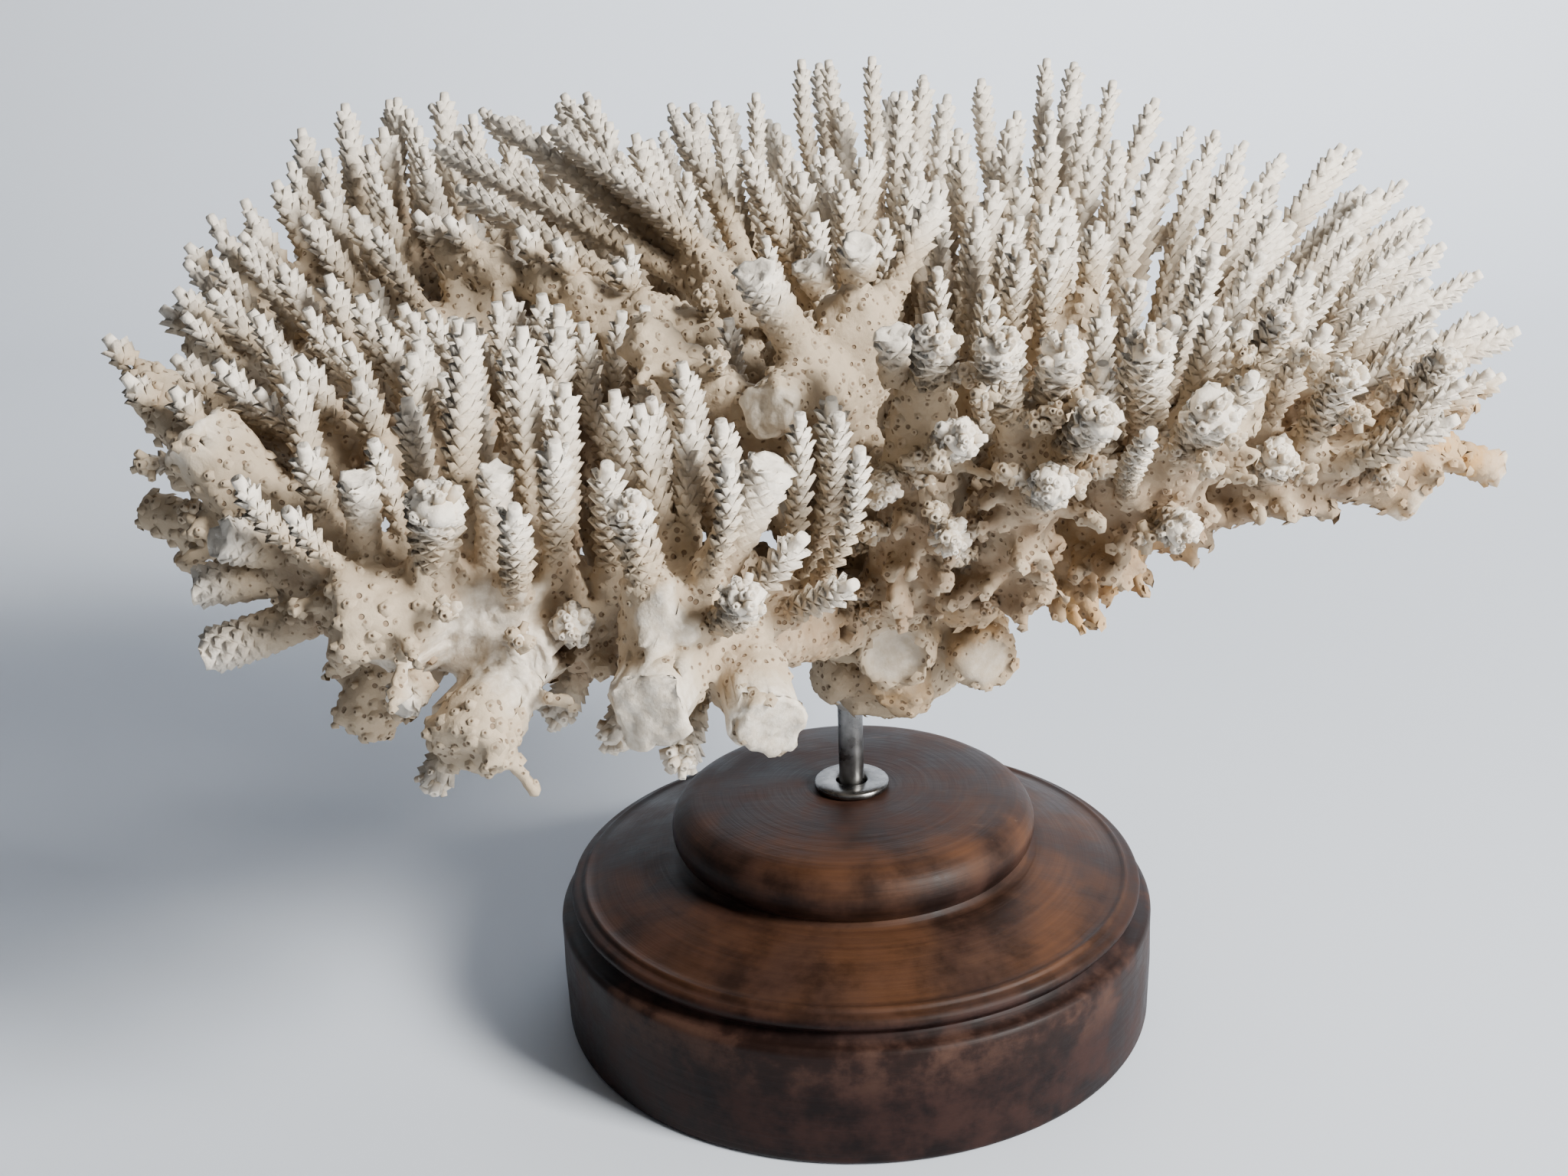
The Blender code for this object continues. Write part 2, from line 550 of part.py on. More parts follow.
def build():
    """Build the coral and its stand."""
    for old in list(bpy.data.objects):
        bpy.data.objects.remove(old, do_unlink=True)
    wood = material("stained_wood", (0.10, 0.045, 0.028), 0.42)
    steel = material("steel", (0.42, 0.41, 0.40), 0.35, 1.0)
    resin = material("glue", (0.62, 0.60, 0.56), 0.3)
    coral = material("coral", (0.74, 0.68, 0.60), 0.85)
    make_base(wood)
    make_washer(steel)
    make_rod(steel)
    make_glue(resin)
    make_stalk(coral)
    fingers = grow_fingers()
    stems = []
    nodes = list(dict.fromkeys(limb.node for limb in LIMBS))
    for node in nodes:
        stems += [limb_stem(limb, limb_rings(limb)) for limb in LIMBS if limb.node == node]
        stems += [solid_stem(finger) for finger in fingers if finger.node == node]
    for node in nodes:
        make_limb(node, stems, coral)


build()
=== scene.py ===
"""Looks of the branching coral on its turned wooden stand.

Every limb of the coral is dressed in its fine surface: a rough, pored core, and fingers covered with
small scale-like cups that point up. The layout is the one that the solids follow. It is in millimetres
and is scaled when the meshes are made.
"""

import math
import random
from collections import namedtuple

import bmesh
import bpy
import numpy as np
from mathutils import Matrix, Vector, noise


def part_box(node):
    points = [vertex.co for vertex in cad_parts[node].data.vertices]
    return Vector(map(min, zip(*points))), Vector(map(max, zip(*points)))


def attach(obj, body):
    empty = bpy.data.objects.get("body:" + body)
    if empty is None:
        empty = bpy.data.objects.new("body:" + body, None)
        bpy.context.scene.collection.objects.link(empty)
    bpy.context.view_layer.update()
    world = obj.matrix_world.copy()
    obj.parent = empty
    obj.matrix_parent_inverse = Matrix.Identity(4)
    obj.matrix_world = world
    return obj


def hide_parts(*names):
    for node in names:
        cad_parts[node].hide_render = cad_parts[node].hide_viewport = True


MM = 0.001

# Camera, where the photo was taken from: place in metres, and turns in degrees
CAMERA_PLACE = (0.0, -0.4043, 0.2551)
CAMERA_PITCH = 20.05
CAMERA_TURN = 2.08
CAMERA_ROLL = -2.13
FOCAL_PIXELS = 2411.3
PHOTO_WIDTH = 2048
SENSOR_WIDTH = 36.0

# Coral layout: how the main fingers grow, as in the solids
SEED = 11
FINGER_SPACE = 0.9
MAX_REACH = 72.0
MIN_REACH = 15.0
RIGHT_EDGE = 149.0
LEFT_EDGE = -156.0
LINE_POINTS = 81

# Thinner fingers that fill the room between the main ones
FILL_SEED = 5
FILL_SPACE = 0.3
FILL_OVERLAP = -0.6
FILL_RADIUS = 3.0
FILL_SPACING = 4.0
FILL_SIDEWAYS = 1.9
FILL_TRIES = 7

# Short nubs along the limbs, close together on the crusted ones and none in front of the stalk's scars,
# which are between the two widths and below the height of STALK_FRONT. NUB_LINE is where on a limb they
# begin and the share of its length that they take
NUB_SPACING = 4.5
CLOSE_NUB_SPACING = 1.9
NUB_OVERLAP = -0.8
NUB_TRIES = 4
NUB_LENGTHS = (3.5, 12.0)
NUB_RADII = (2.1, 3.0)
NUB_TAPER = 0.78
NUB_LINE = (0.12, 0.85)
CRUSTED = ("limb_front", "limb_front_middle", "limb_front_right", "limb_right_front", "limb_centre_right")
LOWEST_NUB = 84.0
STALK_FRONT = (-14.0, 42.0, 117.0)

# Buds on the knobs to the right of BUDS_FROM
BUDS_FROM = -10.0
BUD_RADII = (2.3, 1.9)
BUD_LENGTHS = (1.5, 4.0)

# Coral surface: the size of the cups, coarser on the far side, and of the cells of the melted cores
CUP_ROW = 3.2
CUP_COLUMN = 2.35
BACK_STRETCH = 1.2
BACK_FROM = 25.0
CUP_SPACING = 2.9
SLIM = 0.84
CORE_VOXEL = 1.5
CORE_LIFT = 11.0
STALK_VOXEL = 1.3
CROWD_CELL = 4.0
STALK_SHRINK = 0.76
CUP_SIDES = 5
COURSE_POINTS = 33
SIDE_GUIDE = (0.31, 0.93, 0.17)
FUSED_STUB = 6.3
LIMB_SIDES = 12
FOOT_SIDES = 8
STALK_SIDES = 20

# Stand, in millimetres
BASE_RADIUS = 72.0
WASHER_RADIUS = 9.0
WASHER_BORE = 3.75
ROD_RADIUS = 3.0

# Heights on the base, in metres, between which a look of its wood begins and ends
EDGE_RISE, EDGE_FALL = (0.014, 0.026), (0.0285, 0.0305)
TIER_RISE, TIER_FALL = (0.0325, 0.036), (0.041, 0.045)
SHOULDER_RISE, SHOULDER_FALL = (0.045, 0.051), (0.0545, 0.056)
SCUFF_RISE = (0.050, 0.0535)

# Colours as linear red, green, blue and alpha
# Cream-tan of the limbs and lower fingers: partly the coral's own tone, partly painted shade towards the
# finger bases
CORAL_BODY_AND_SHADE = (0.44, 0.35, 0.245, 1.0)
CORAL_TIP = (0.81, 0.745, 0.645, 1.0)
CORAL_SPECK = (0.36, 0.27, 0.175, 1.0)
# Painted shade between the fingers, where shade falls among them
CORAL_PAINTED_SHADE = (0.215, 0.14, 0.083, 1.0)
CORAL_STAIN = (0.44, 0.255, 0.10, 1.0)
CORAL_BREAK = (0.72, 0.655, 0.555, 1.0)
# Painted shade in the pores, cup pits and bored holes
CORAL_PIT_SHADE = (0.13, 0.08, 0.045, 1.0)
WOOD_DARK = (0.0055, 0.0025, 0.0022, 1.0)
WOOD_STAINED = (0.024, 0.0105, 0.0082, 1.0)
WOOD_EDGE = (0.060, 0.031, 0.021, 1.0)
WOOD_WORN = (0.058, 0.029, 0.017, 1.0)
WOOD_WARM = (0.080, 0.0345, 0.016, 1.0)
WOOD_SCUFF = (0.16, 0.10, 0.07, 1.0)
STEEL_DULL = (0.16, 0.155, 0.15, 1.0)
STEEL_BRIGHT = (0.30, 0.295, 0.285, 1.0)
GLUE_CLOUDY = (0.40, 0.38, 0.34, 1.0)
GLUE_PALE = (0.62, 0.60, 0.56, 1.0)
FLOOR_GREY = (0.572, 0.612, 0.672, 1.0)
FLOOR_PALE = (0.628, 0.668, 0.728, 1.0)
WORLD_COLOUR = (0.92, 0.94, 1.0, 1.0)
WORLD_STRENGTH = 0.07

# Lights: place, target, size, power, colour and spread in degrees
CORAL_MIDDLE = (0.0, 0.0, 0.14)
DAYLIGHT = (1.0, 0.99, 0.965)
COOL_LIGHT = (0.97, 0.98, 1.0)
LIGHTS = {
    "window": ((1.2, -0.75, 0.98), CORAL_MIDDLE, (0.5, 0.5), 80.0, DAYLIGHT, 180.0),
    "low_fill": ((1.1, -0.8, 0.18), CORAL_MIDDLE, (0.6, 0.3), 9.0, DAYLIGHT, 180.0),
    "overhead": ((0.5, 0.0, 1.6), CORAL_MIDDLE, (0.6, 0.6), 4.0, COOL_LIGHT, 180.0),
    "backdrop": ((0.7, 0.0, 1.7), (0.3, 1.25, 0.8), (0.6, 0.5), 17.0, COOL_LIGHT, 85.0),
}

Limb = namedtuple("Limb", "node style path root_radius end_radius first spacing")
Branch = namedtuple("Branch", "node kind base tip base_radius tip_radius")
Stem = namedtuple("Stem", "node kind centres radii")
# The growth of each point is its share along the stem, how far it is inside a pit, which sets the painted
# shade there, and how worn it is
Patch = namedtuple("Patch", "points faces growth")
CupStyle = namedtuple("CupStyle", "begin full reach slim loose")

# How a kind of stem carries its cups: the shares of its length where they begin to stand out and stand out in
# full, how far they reach, how slim the stem is under them, and how loosely they are set
CUP_STYLES = {
    "finger": CupStyle(0.08, 0.55, 1.15, SLIM, 0.06),
    "nub": CupStyle(-0.3, 0.3, 1.1, 0.9, 0.06),
    "bud": CupStyle(-0.5, 0.2, 0.8, 1.0, 0.06),
    "stub": CupStyle(0.2, 0.9, 0.7, 0.92, 0.06),
    "knob": CupStyle(-0.1, 0.6, 1.15, 0.8, 0.25),
}

# Corners of a cup's lip: turn round the stem, climb along it, and how far it stands out and is lifted
LIPS = ((-1, 0, 0.6, 0.85), (0, -1, 1.12, 1.35), (1, 0, 0.6, 0.85), (0, 1, 0.1, 0.15))

# The stalk: places along its axis, each with the radius there
STALK_PATH = [(3, -2, 80), (5, -3, 85), (9, -4, 90), (13, -4, 96),
              (16, -4, 104), (16, -3, 113), (14, -1, 122), (13, 0, 131)]
STALK_RADII = [11, 14, 18, 22, 26, 30, 35, 27]

# Limbs leave the stalk at the first point of their path. Fingers begin at the share "first" of it.
LIMBS = [
    Limb("limb_left_front", "left",
         [(-12, -18, 113), (-22, -32, 115), (-40, -57, 121), (-60, -73, 128), (-86, -78, 136),
          (-108, -68, 146), (-126, -54, 158), (-138, -43, 168)], 9, 6, 0.30, 7.0),
    Limb("limb_left_front", "bare", [(-62, -75, 129), (-80, -86, 135), (-94, -92, 137)], 9.5, 9, 0, 0),
    Limb("limb_left_front", "bare", [(-58, -74, 128), (-66, -89, 121), (-70, -101, 114)], 8, 8.5, 0, 0),
    Limb("limb_front_left", "left",
         [(0, -24, 112), (-4, -36, 114), (-18, -58, 120), (-31, -78, 129), (-35, -90, 131)], 9, 9, 0.3, 7),
    Limb("limb_left_low", "bare",
         [(-18, -9, 114), (-30, -14, 116), (-60, -28, 119), (-110, -30, 125), (-153, -22, 138)], 8, 5, 0, 0),
    Limb("limb_left_low", "bare", [(-78, -31, 119), (-97, -40, 107), (-106, -43, 93)], 8, 7, 0, 0),
    Limb("limb_left_middle", "left",
         [(-16, 3, 127), (-29, 3, 131), (-50, -18, 140), (-76, -46, 149), (-102, -49, 153), (-124, -36, 158)],
         7, 4.5, 0.3, 7.2),
    Limb("limb_left_middle", "left", [(-50, -18, 140), (-80, -12, 149), (-114, -10, 159), (-141, 0, 168)],
         6, 4.5, 0.15, 7.8),
    Limb("limb_left_back", "left",
         [(-8, 16, 124), (-20, 23, 128), (-48, 27, 146), (-88, 27, 160), (-122, 33, 168), (-146, 32, 175)],
         8, 4.5, 0.3, 7.8),
    Limb("limb_left_back", "left", [(-52, 29, 148), (-82, 52, 160), (-110, 64, 168), (-132, 72, 172)],
         6, 4.5, 0.15, 7.8),
    Limb("limb_back_left", "right",
         [(0, 24, 122), (-4, 36, 127), (-20, 56, 144), (-46, 88, 162)], 8, 5, 0.2, 7.6),
    Limb("limb_back_left", "right", [(-18, 54, 143), (-50, 58, 158), (-86, 80, 169)], 6.5, 4.5, 0.2, 7.6),
    Limb("limb_back", "right", [(13, 26, 122), (13, 38, 127), (12, 62, 146), (4, 96, 164)], 8, 5, 0.2, 7.6),
    Limb("limb_back_right", "right",
         [(24, 22, 122), (31, 33, 126), (44, 56, 142), (58, 92, 158)], 8, 5, 0.2, 7.6),
    Limb("limb_right_back", "right",
         [(33, 12, 120), (44, 20, 125), (72, 38, 138), (104, 62, 148)], 8, 5, 0.2, 7.6),
    Limb("limb_right_back", "right", [(62, 32, 134), (96, 32, 143), (126, 38, 149)], 6.5, 4.5, 0.2, 7.6),
    Limb("limb_right", "right", [(38, 1, 120), (50, 3, 125), (76, 8, 135), (110, 9, 142), (137, 5, 145)],
         9, 5, 0.2, 7.2),
    Limb("limb_right_front", "right",
         [(38, -9, 116), (49, -13, 121), (72, -26, 134), (102, -26, 141), (128, -14, 144)],
         9.5, 5.5, 0.2, 7.0),
    Limb("limb_front_right", "right",
         [(34, -19, 116), (42, -27, 121), (56, -38, 134), (68, -46, 149), (77, -45, 158)],
         8.5, 5.5, 0.3, 6.5),
    Limb("limb_front_middle", "right", [(23, -28, 115), (28, -37, 121), (34, -50, 138), (38, -58, 154)],
         8.5, 6.5, 0.45, 7),
    Limb("limb_front", "right",
         [(10, -28, 115), (11, -40, 124), (14, -53, 144), (15, -58, 162)], 8.5, 7, 0.5, 7),
    Limb("limb_centre", "bare", [(3, -18, 132), (1, -24, 140), (-2, -33, 154), (-4, -42, 166)], 9, 8.5, 0, 0),
    Limb("limb_centre", "bare", [(-2, -33, 154), (2, -35, 168), (3, -37, 179)], 8, 8.5, 0, 0),
    Limb("limb_centre", "bare",
         [(-3, -36, 158), (-17, -43, 160), (-30, -46, 170), (-41, -48, 179)], 6.5, 5.5, 0, 0),
    Limb("limb_centre_left", "sweep",
         [(-7, -6, 132), (-12, -12, 142), (-20, -20, 162), (-31, -24, 173), (-56, -20, 181), (-80, -10, 187)],
         6.5, 2.8, 0.45, 6.5),
    Limb("limb_centre_back", "right",
         [(5, 6, 134), (3, 12, 143), (-2, 20, 158), (-8, 30, 170)], 8, 5, 0.25, 7),
    Limb("limb_centre_back", "bare", [(3, 12, 143), (-8, 9, 158), (-22, 7, 172)], 6.5, 5, 0, 0),
    Limb("limb_centre_right", "right",
         [(22, -4, 134), (27, -5, 143), (36, -6, 152), (52, -6, 166)], 8, 5, 0.25, 7),
    Limb("limb_centre_far", "right",
         [(20, 10, 134), (26, 18, 143), (34, 28, 154), (44, 36, 166)], 8, 5, 0.25, 7),
]

# Branches that show singly: the knobs, broken stubs and thick fingers of the near side, by node. Each has
# its kind, foot, tip, and the radii at both
BRANCH_ROWS = {
    "limb_left_front": [
        ("stub", (-108, -70, 148), (-124, -66, 166), 7.0, 7.5),
        ("stub", (-102, -74, 143), (-115, -85, 151), 5.2, 5.0),
        ("stub", (-100, -74, 139), (-123, -80, 140), 5.2, 4.6),
        ("stub", (-94, -78, 134), (-121, -84, 128), 5.4, 5.0),
        ("finger", (-98, -68, 150), (-105, -63, 176), 4.4, 3.0),
        ("stub", (-88, -82, 146), (-87, -89, 163), 4.2, 4.0),
        ("knob", (-77, -82, 142), (-72, -95, 160), 6.0, 6.0),
        ("finger", (-74, -79, 138), (-67, -77, 187), 4.8, 3.2),
        ("stub", (-67, -80, 136), (-63, -85, 163), 4.2, 3.8),
        ("finger", (-62, -66, 134), (-60, -62, 183), 4.2, 3.0),
        ("finger", (-55, -68, 131), (-52, -67, 173), 4.2, 3.0),
        ("knob", (-52, -72, 128), (-51, -87, 133), 4.8, 4.4),
        ("stub", (-72, -82, 131), (-83, -95, 121), 4.8, 4.4),
        ("knob", (-66, -88, 121), (-80, -88, 102), 4.4, 3.6),
        ("knob", (-40, -58, 120), (-47, -70, 101), 5.0, 4.0),
        ("knob", (-50, -64, 122), (-59, -66, 105), 5.0, 3.6),
    ],
    "limb_front_left": [
        ("finger", (-34, -72, 132), (-38, -69, 169), 4.2, 3.0),
        ("finger", (-31, -74, 136), (-29, -66, 165), 3.8, 3.0),
        ("stub", (-27, -80, 134), (-13, -84, 162), 5.0, 5.4),
        ("knob", (-36, -86, 132), (-38, -94, 158), 6.0, 4.4),
        ("finger", (-20, -80, 130), (-8, -88, 149), 4.2, 3.2),
        ("finger", (-14, -70, 126), (1, -83, 138), 4.6, 3.0),
        ("knob", (-22, -86, 128), (-18, -99, 142), 4.6, 4.4),
        ("stub", (-32, -84, 126), (-36, -103, 121), 8.0, 7.5),
        ("stub", (-22, -76, 124), (-14, -96, 115), 8.0, 7.0),
        ("knob", (-28, -74, 120), (-32, -90, 106), 4.8, 3.8),
    ],
    "limb_centre_left": [
        ("finger", (-30, -16, 173), (-82, 2, 201), 4.2, 3.0),
    ],
    "limb_centre_back": [
        ("finger", (-26, 6, 176), (-89, 18, 208), 4.4, 3.0),
        ("finger", (-24, 10, 178), (-78, 29, 213), 4.2, 3.0),
        ("finger", (-20, 6, 180), (-64, 22, 211), 4.2, 3.0),
        ("finger", (-18, 2, 178), (-49, 8, 203), 4.2, 3.0),
        ("finger", (-12, 8, 176), (-36, 25, 211), 4.2, 3.0),
        ("finger", (-4, 14, 166), (-20, 14, 205), 4.2, 3.0),
    ],
    "limb_centre": [
        ("stub", (-4, -42, 167), (-15, -62, 166), 6.5, 5.6),
        ("stub", (-6, -42, 168), (-16, -57, 192), 5.4, 5.0),
        ("stub", (1, -36, 174), (-6, -44, 191), 4.6, 4.2),
        ("stub", (3, -37, 176), (4, -47, 195), 4.8, 4.6),
        ("finger", (6, -32, 172), (20, -28, 200), 4.4, 3.4),
    ],
    "limb_front": [
        ("stub", (12, -50, 148), (10, -65, 181), 4.6, 4.6),
        ("knob", (10, -54, 156), (7, -72, 152), 4.6, 3.0),
        ("knob", (16, -57, 163), (17, -78, 183), 5.0, 4.4),
        ("knob", (17, -58, 155), (21, -84, 166), 4.6, 4.2),
        ("knob", (15, -54, 146), (20, -76, 144), 4.6, 3.2),
    ],
    "limb_front_middle": [
        ("knob", (32, -56, 154), (28, -80, 182), 5.0, 4.8),
        ("knob", (38, -58, 154), (40, -77, 180), 5.0, 4.6),
        ("knob", (38, -58, 150), (46, -84, 169), 4.6, 4.4),
        ("knob", (35, -54, 145), (38, -82, 156), 5.0, 4.4),
    ],
    "limb_front_right": [
        ("knob", (60, -42, 142), (57, -68, 178), 5.0, 4.8),
        ("knob", (64, -44, 146), (69, -70, 166), 5.6, 5.6),
        ("knob", (60, -42, 140), (66, -60, 139), 5.4, 4.4),
        ("knob", (76, -45, 157), (85, -55, 180), 4.8, 4.4),
    ],
    "limb_right_front": [
        ("knob", (82, -27, 136), (88, -44, 149), 6.0, 4.8),
        ("knob", (92, -28, 139), (100, -46, 166), 4.8, 4.2),
        ("knob", (112, -24, 142), (122, -36, 166), 4.8, 4.4),
        ("stub", (108, -24, 141), (124, -25, 134), 7.0, 6.5),
        ("stub", (124, -15, 143), (143, -11, 135), 5.0, 4.6),
    ],
}
BRANCHES = [Branch(node, *row) for node, rows in BRANCH_ROWS.items() for row in rows]

# Broken faces on the limbs: node, place, way out and size
BREAKS = [("limb_front_left", (-36, -102, 121.5), (-0.25, -1.0, -0.15), 11.5),
          ("limb_front_left", (-14, -95.5, 115), (0.25, -1.0, -0.35), 9.5),
          ("limb_front_left", (-33, -96, 137), (-0.1, -1.0, 0.0), 6.5),
          ("limb_left_front", (-64, -88, 127), (-0.3, -1.0, 0.1), 13.0),
          ("limb_left_front", (-70, -88, 112), (-0.1, -1.0, -0.2), 7.5),
          ("limb_left_front", (-82, -92, 123), (-0.7, -0.7, -0.3), 8.0),
          ("limb_left_front", (-124, -66, 166), (-0.65, 0.15, 0.75), 8.5),
          ("limb_centre", (-15, -61, 166), (-0.4, -0.9, 0.0), 7.5),
          ("limb_right_front", (123, -25, 134), (0.8, -0.4, -0.4), 8.0)]

# Bored holes in the limbs: node, place, way out and size
HOLES = [("limb_front_left", (-0.4, -47.6, 114.9), (0.55, -0.8, 0.05), 2.8),
         ("limb_left_front", (-51.2, -80, 125.5), (0.8, -0.55, 0.0), 2.9)]

# Scars of the stalk: place, way out, size, depth, and how worn it is and how strongly its hole is painted
# with shade
SCARS = [((10, -36, 103.5), (0.05, -1.0, 0.15), 7.6, 4.4, 0.75, 0.0),
         ((30.5, -31, 99.5), (0.35, -1.0, -0.1), 6.6, 1.4, 0.6, 0.0),
         ((0, -32, 106), (-0.1, -1.0, 0.0), 2.9, 10.0, 0.0, 1.0)]

# Lobes of the stalk: foot, end and radius
LOBES = [((12, -6, 105), (10, -34, 103.5), 9.4), ((26, -6, 102), (30, -28, 99.5), 8.6),
         ((1, -6, 106), (-1, -29, 105.5), 7.0), ((12, -4, 94), (12, -24, 90.5), 8.0),
         ((24, -4, 100), (30, -12, 95), 8.0), ((4, -3, 92), (-5, -15, 90), 6.5),
         ((24, 2, 112), (40, -8, 114), 10.0), ((34, -8, 116), (50, -24, 122), 6.5)]

# Tan stains in the recesses: centre, radius and strength
STAINS = [((52, -26, 114), 24, 1.0), ((130, -16, 131), 20, 1.3), ((30, -30, 114), 14, 0.8),
          ((10, -24, 88), 12, 0.7), ((144, -10, 136), 16, 1.2), ((-10, -40, 124), 20, 0.5),
          ((-80, -20, 120), 34, 0.35)]

# Ways in which a point looks for the fingers around it, to tell how much painted shade it gets
CROWD_WAYS = [(0, 0, 1), (0.6, 0, 0.8), (-0.6, 0, 0.8), (0, 0.6, 0.8), (0, -0.6, 0.8), (1, 0, 0.25),
              (-1, 0, 0.25), (0, -1, 0.25), (0, 1, 0.25), (0.7, -0.7, 0.3), (-0.7, -0.7, 0.3),
              (0.7, 0.7, 0.3), (-0.7, 0.7, 0.3)]


def unit(vector):
    """The vector at length 1."""
    vector = np.asarray(vector, float)
    return vector / (np.linalg.norm(vector) + 1e-12)


def crown_height(x, y):
    """Height of the finger tips: a tilted plate that falls away at both ends, with a hollow on the left."""
    fall = 26.0 * (x / 147.0) ** 4.5 if x > 0 else 12.0 * (x / 150.0) ** 8
    hollow = 42.0 * math.exp(-((x + 80.0) / 20.0) ** 2 - ((y - 12.0) / 24.0) ** 2)
    return 212.0 - fall - hollow - 0.27 * (72.0 - y)


def lean(style, x, y):
    """Direction in which a finger grows whose tip is over x, y."""
    if style == "left":
        rim = max(0.0, -x - 62.0) / 95.0
        behind = min(1.0, max(0.0, (y - 25.0) / 35.0))
        sideways = -46.0 * rim ** 1.4 * (1.0 - 0.8 * behind)
        away = y / 6.0
    else:
        sideways = 62.0 * (min(x, 150.0) / 147.0) ** 2.2 if x > 0 else -38.0 * (-x / 83.0) ** 1.2
        away = y / 3.7 if y > 0 else y / 2.5
    return unit((math.tan(math.radians(sideways)), math.tan(math.radians(away)), 1.0))


def smooth_path(points, count):
    """Points spread evenly along a smooth curve through the given ones, and the curve's length."""
    given = [np.array(point, float) for point in points]
    given = [2 * given[0] - given[1]] + given + [2 * given[-1] - given[-2]]
    fine = []
    for a, b, c, d in zip(given, given[1:], given[2:], given[3:]):
        for t in np.arange(24) / 24:
            fine.append(0.5 * (2 * b + (c - a) * t + (2 * a - 5 * b + 4 * c - d) * t ** 2
                               + (3 * b - a - 3 * c + d) * t ** 3))
    fine = np.array(fine + [given[-2]])
    run = np.concatenate([[0], np.cumsum(np.linalg.norm(np.diff(fine, axis=0), axis=1))])
    places = np.linspace(0, run[-1], count)
    return np.stack([np.interp(places, run, fine[:, k]) for k in range(3)], -1), run[-1]


def bent_stem(node, kind, foot, middle, tip, base_radius, tip_radius, count=4):
    """A stem on a bow from foot to tip that passes through the middle point."""
    t = np.linspace(0, 1, count)[:, None]
    control = 2 * middle - 0.5 * (foot + tip)
    centres = (1 - t) ** 2 * foot + 2 * t * (1 - t) * control + t ** 2 * tip
    return Stem(node, kind, centres, np.linspace(base_radius, tip_radius, count))


def limb_stem(limb, count=9):
    """A limb as a stem."""
    centres, _ = smooth_path(limb.path, count)
    return Stem(limb.node, "limb", centres, np.linspace(limb.root_radius, limb.end_radius, count))


def segments(stems):
    """Starts, ends and radii of all the straight pieces of the stems."""
    starts = np.concatenate([stem.centres[:-1] for stem in stems])
    ends = np.concatenate([stem.centres[1:] for stem in stems])
    radii = np.concatenate([np.maximum(stem.radii[:-1], stem.radii[1:]) for stem in stems])
    return starts, ends, radii


def distances(a, b, starts, ends):
    """Shortest distances between the segment a to b and each of many others."""
    d1, d2, r = b - a, ends - starts, a - starts
    along, across, lean_over = d1 @ d1, (d2 * d2).sum(1), (d2 * r).sum(1)
    c, mixed = r @ d1, d2 @ d1
    spread = along * across - mixed * mixed
    flat = spread < 1e-9
    s = np.where(flat, 0.0, np.clip((mixed * lean_over - c * across) / np.where(flat, 1.0, spread), 0, 1))
    t = (mixed * s + lean_over) / across
    s = np.where(t < 0, np.clip(-c / along, 0, 1), np.where(t > 1, np.clip((mixed - c) / along, 0, 1), s))
    t = np.clip(t, 0, 1)
    return np.linalg.norm(a + d1 * s[:, None] - starts - d2 * t[:, None], axis=1)


def is_clear(stem, others, space, skip=0):
    """True where the stem, without its first pieces, keeps the space to all the others."""
    if not others:
        return True
    starts, ends, radii = segments(others)
    for k in range(skip, len(stem.centres) - 1):
        reach = radii + max(stem.radii[k], stem.radii[k + 1]) + space
        if (distances(stem.centres[k], stem.centres[k + 1], starts, ends) < reach).any():
            return False
    return True


def branch_stem(branch):
    """A branch that starts on the axis of the nearest limb of its node."""
    axes = np.concatenate([smooth_path(limb.path, 41)[0] for limb in LIMBS if limb.node == branch.node])
    base, tip = np.array(branch.base, float), np.array(branch.tip, float)
    foot = axes[np.argmin(np.linalg.norm(axes - base, axis=1))]
    middle = (0.6 * base + 0.4 * foot + tip) / 2
    return bent_stem(branch.node, branch.kind, foot, middle, tip, branch.base_radius, branch.tip_radius)


def grown_finger(limb, at, across, side, rng, attempt):
    """A finger that grows from a place on a limb up to the crown."""
    jitter = np.array([rng.uniform(-0.09, 0.09) for _ in range(3)]) * (1 + 0.2 * attempt)
    sideways = side + rng.uniform(-0.3, 0.3) * (1 + 0.3 * attempt)
    reach = 45.0
    tip = at + np.array((0.0, 0.0, reach))
    for _ in range(5):
        way = unit(lean(limb.style, tip[0], tip[1]) + across * sideways * 0.26 + jitter)
        tip = at + way * reach
        reach += (crown_height(tip[0], tip[1]) - tip[2]) / max(way[2], 0.45)
        reach = max(MIN_REACH, min(MAX_REACH, reach))
    reach *= rng.uniform(0.88, 1.0) * (1 - 0.012 * attempt)
    if limb.style == "sweep":
        reach = min(reach, 16.0)
    tip = at + way * reach
    tip[0] = min(max(tip[0], LEFT_EDGE + 0.22 * max(0.0, -tip[1])), RIGHT_EDGE)
    middle = (at + tip) / 2 + across * sideways * reach * 0.06
    radius = 4.3 if limb.style == "left" else 4.0
    return bent_stem(limb.node, "finger", at, middle, tip, radius, radius * 0.76)


